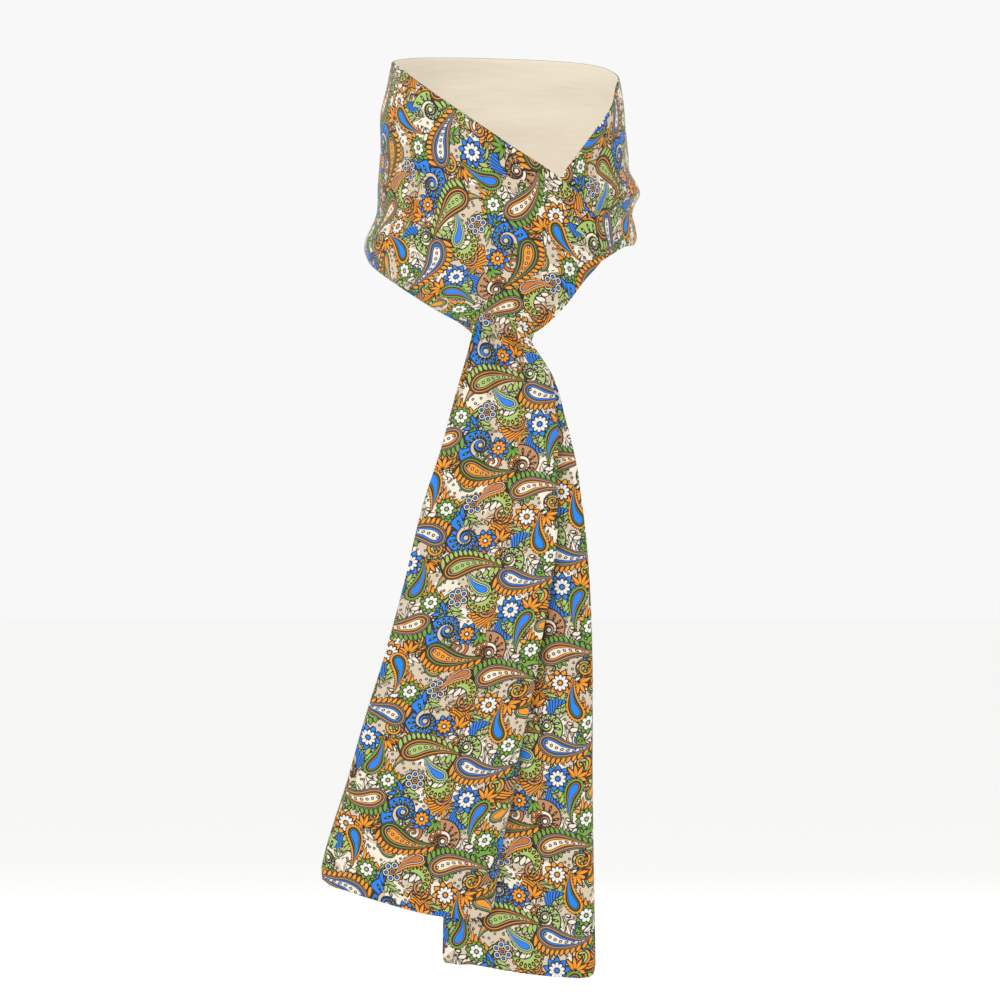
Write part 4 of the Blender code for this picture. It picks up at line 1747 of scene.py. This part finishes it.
@dataclass(frozen=True)
class BackgroundPaper(Finish):
    """Matt white background paper, with hardly any gloss."""

    name: str = "Matt background paper"
    roughness: float = 0.9
    colour: str = "FDFDFC"
    specular: float = 0.1

    def build(self) -> bpy.types.Material:
        """Make the material.

        Returns:
            The material.
        """
        material, _, shader = self.start()
        shader.inputs["Base Color"].default_value = linear(self.colour)
        shader.inputs["Specular IOR Level"].default_value = self.specular
        return material


@dataclass
class Studio:
    """Pale floor, soft lights and the camera."""

    distance: float = 8.0
    # The width seen is measured where the tails hang, a little in front of the neck's axis.
    view_width: float = 0.56
    tails_forward: float = 0.1
    view_centre: tuple[float, float] = (-0.0028, -0.140)
    sensor: float = 36.0
    # The camera sees this far, past the floor's far edge.
    far: float = 45.0
    floor_size: float = 60.0
    floor_height: float = -0.46
    aim: tuple[float, float, float] = (0.0, -0.08, -0.1)
    world_colour: str = "FFFFFF"
    world_strength: float = 0.94

    def floor(self) -> None:
        """A plain pale floor, wide enough for a view from any side."""
        half = self.floor_size / 2
        corners = [(x * half, y * half, self.floor_height) for x, y in ((-1, -1), (1, -1), (1, 1), (-1, 1))]
        mesh = bpy.data.meshes.new("Studio_floor")
        mesh.from_pydata(corners, [], [(0, 1, 2, 3)])
        mesh.materials.append(BackgroundPaper().build())
        floor = bpy.data.objects.new("Studio_floor", mesh)
        bpy.context.scene.collection.objects.link(floor)

    def lamp(self, name: str, place: tuple[float, float, float], size: float, power: float) -> None:
        """A soft square light turned to the object.

        Args:
            name: Its name.
            place: Where it stands.
            size: Its side in metres.
            power: Its power in watts.
        """
        data = bpy.data.lights.new(name, "AREA")
        data.size, data.energy = size, power
        item = bpy.data.objects.new(name, data)
        item.location = place
        away = np.array(place) - self.aim
        yaw = math.atan2(away[0], -away[1])
        pitch = math.atan2(math.hypot(away[0], away[1]), away[2])
        item.rotation_euler = (pitch, 0.0, yaw)
        bpy.context.scene.collection.objects.link(item)

    def camera(self) -> None:
        """A long lens, level, square on to the front."""
        data = bpy.data.cameras.new("Camera")
        data.sensor_width = self.sensor
        data.lens = self.sensor * (self.distance - self.tails_forward) / self.view_width
        data.clip_end = self.far
        item = bpy.data.objects.new("Camera", data)
        item.location = (self.view_centre[0], -self.distance, self.view_centre[1])
        item.rotation_euler = (math.pi / 2, 0.0, 0.0)
        bpy.context.scene.collection.objects.link(item)
        bpy.context.scene.camera = item

    def build(self) -> None:
        """Set the stage."""
        self.floor()
        self.lamp("Key_light", (-1.5, -2.2, 1.9), size=1.0, power=31)
        self.lamp("Fill_light", (1.9, -2.0, 0.7), size=1.8, power=5)
        self.lamp("Back_light", (0.8, 2.4, 1.8), size=1.4, power=14)
        world = bpy.data.worlds.new("Studio")
        world.use_nodes = True
        back = world.node_tree.nodes["Background"]
        back.inputs["Color"].default_value = linear(self.world_colour)
        back.inputs["Strength"].default_value = self.world_strength
        bpy.context.scene.world = world
        self.camera()
        bpy.context.scene.view_settings.view_transform = "Standard"


def main() -> None:
    """Load the frame and build every piece."""
    logging.basicConfig(level=logging.INFO, format="%(message)s")
    for item in list(bpy.data.objects):
        bpy.data.objects.remove(item, do_unlink=True)
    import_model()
    finishes = (PrintedCloth().build(), LiningCloth().build())
    NeckWrap(finishes).build()
    Knot(finishes).build()
    FrontTail(finishes).build()
    RearTail(finishes, tape=CottonTape().build(), thread=SewingThread().build()).build()
    Studio().build()


if __name__ == "__main__":
    main()
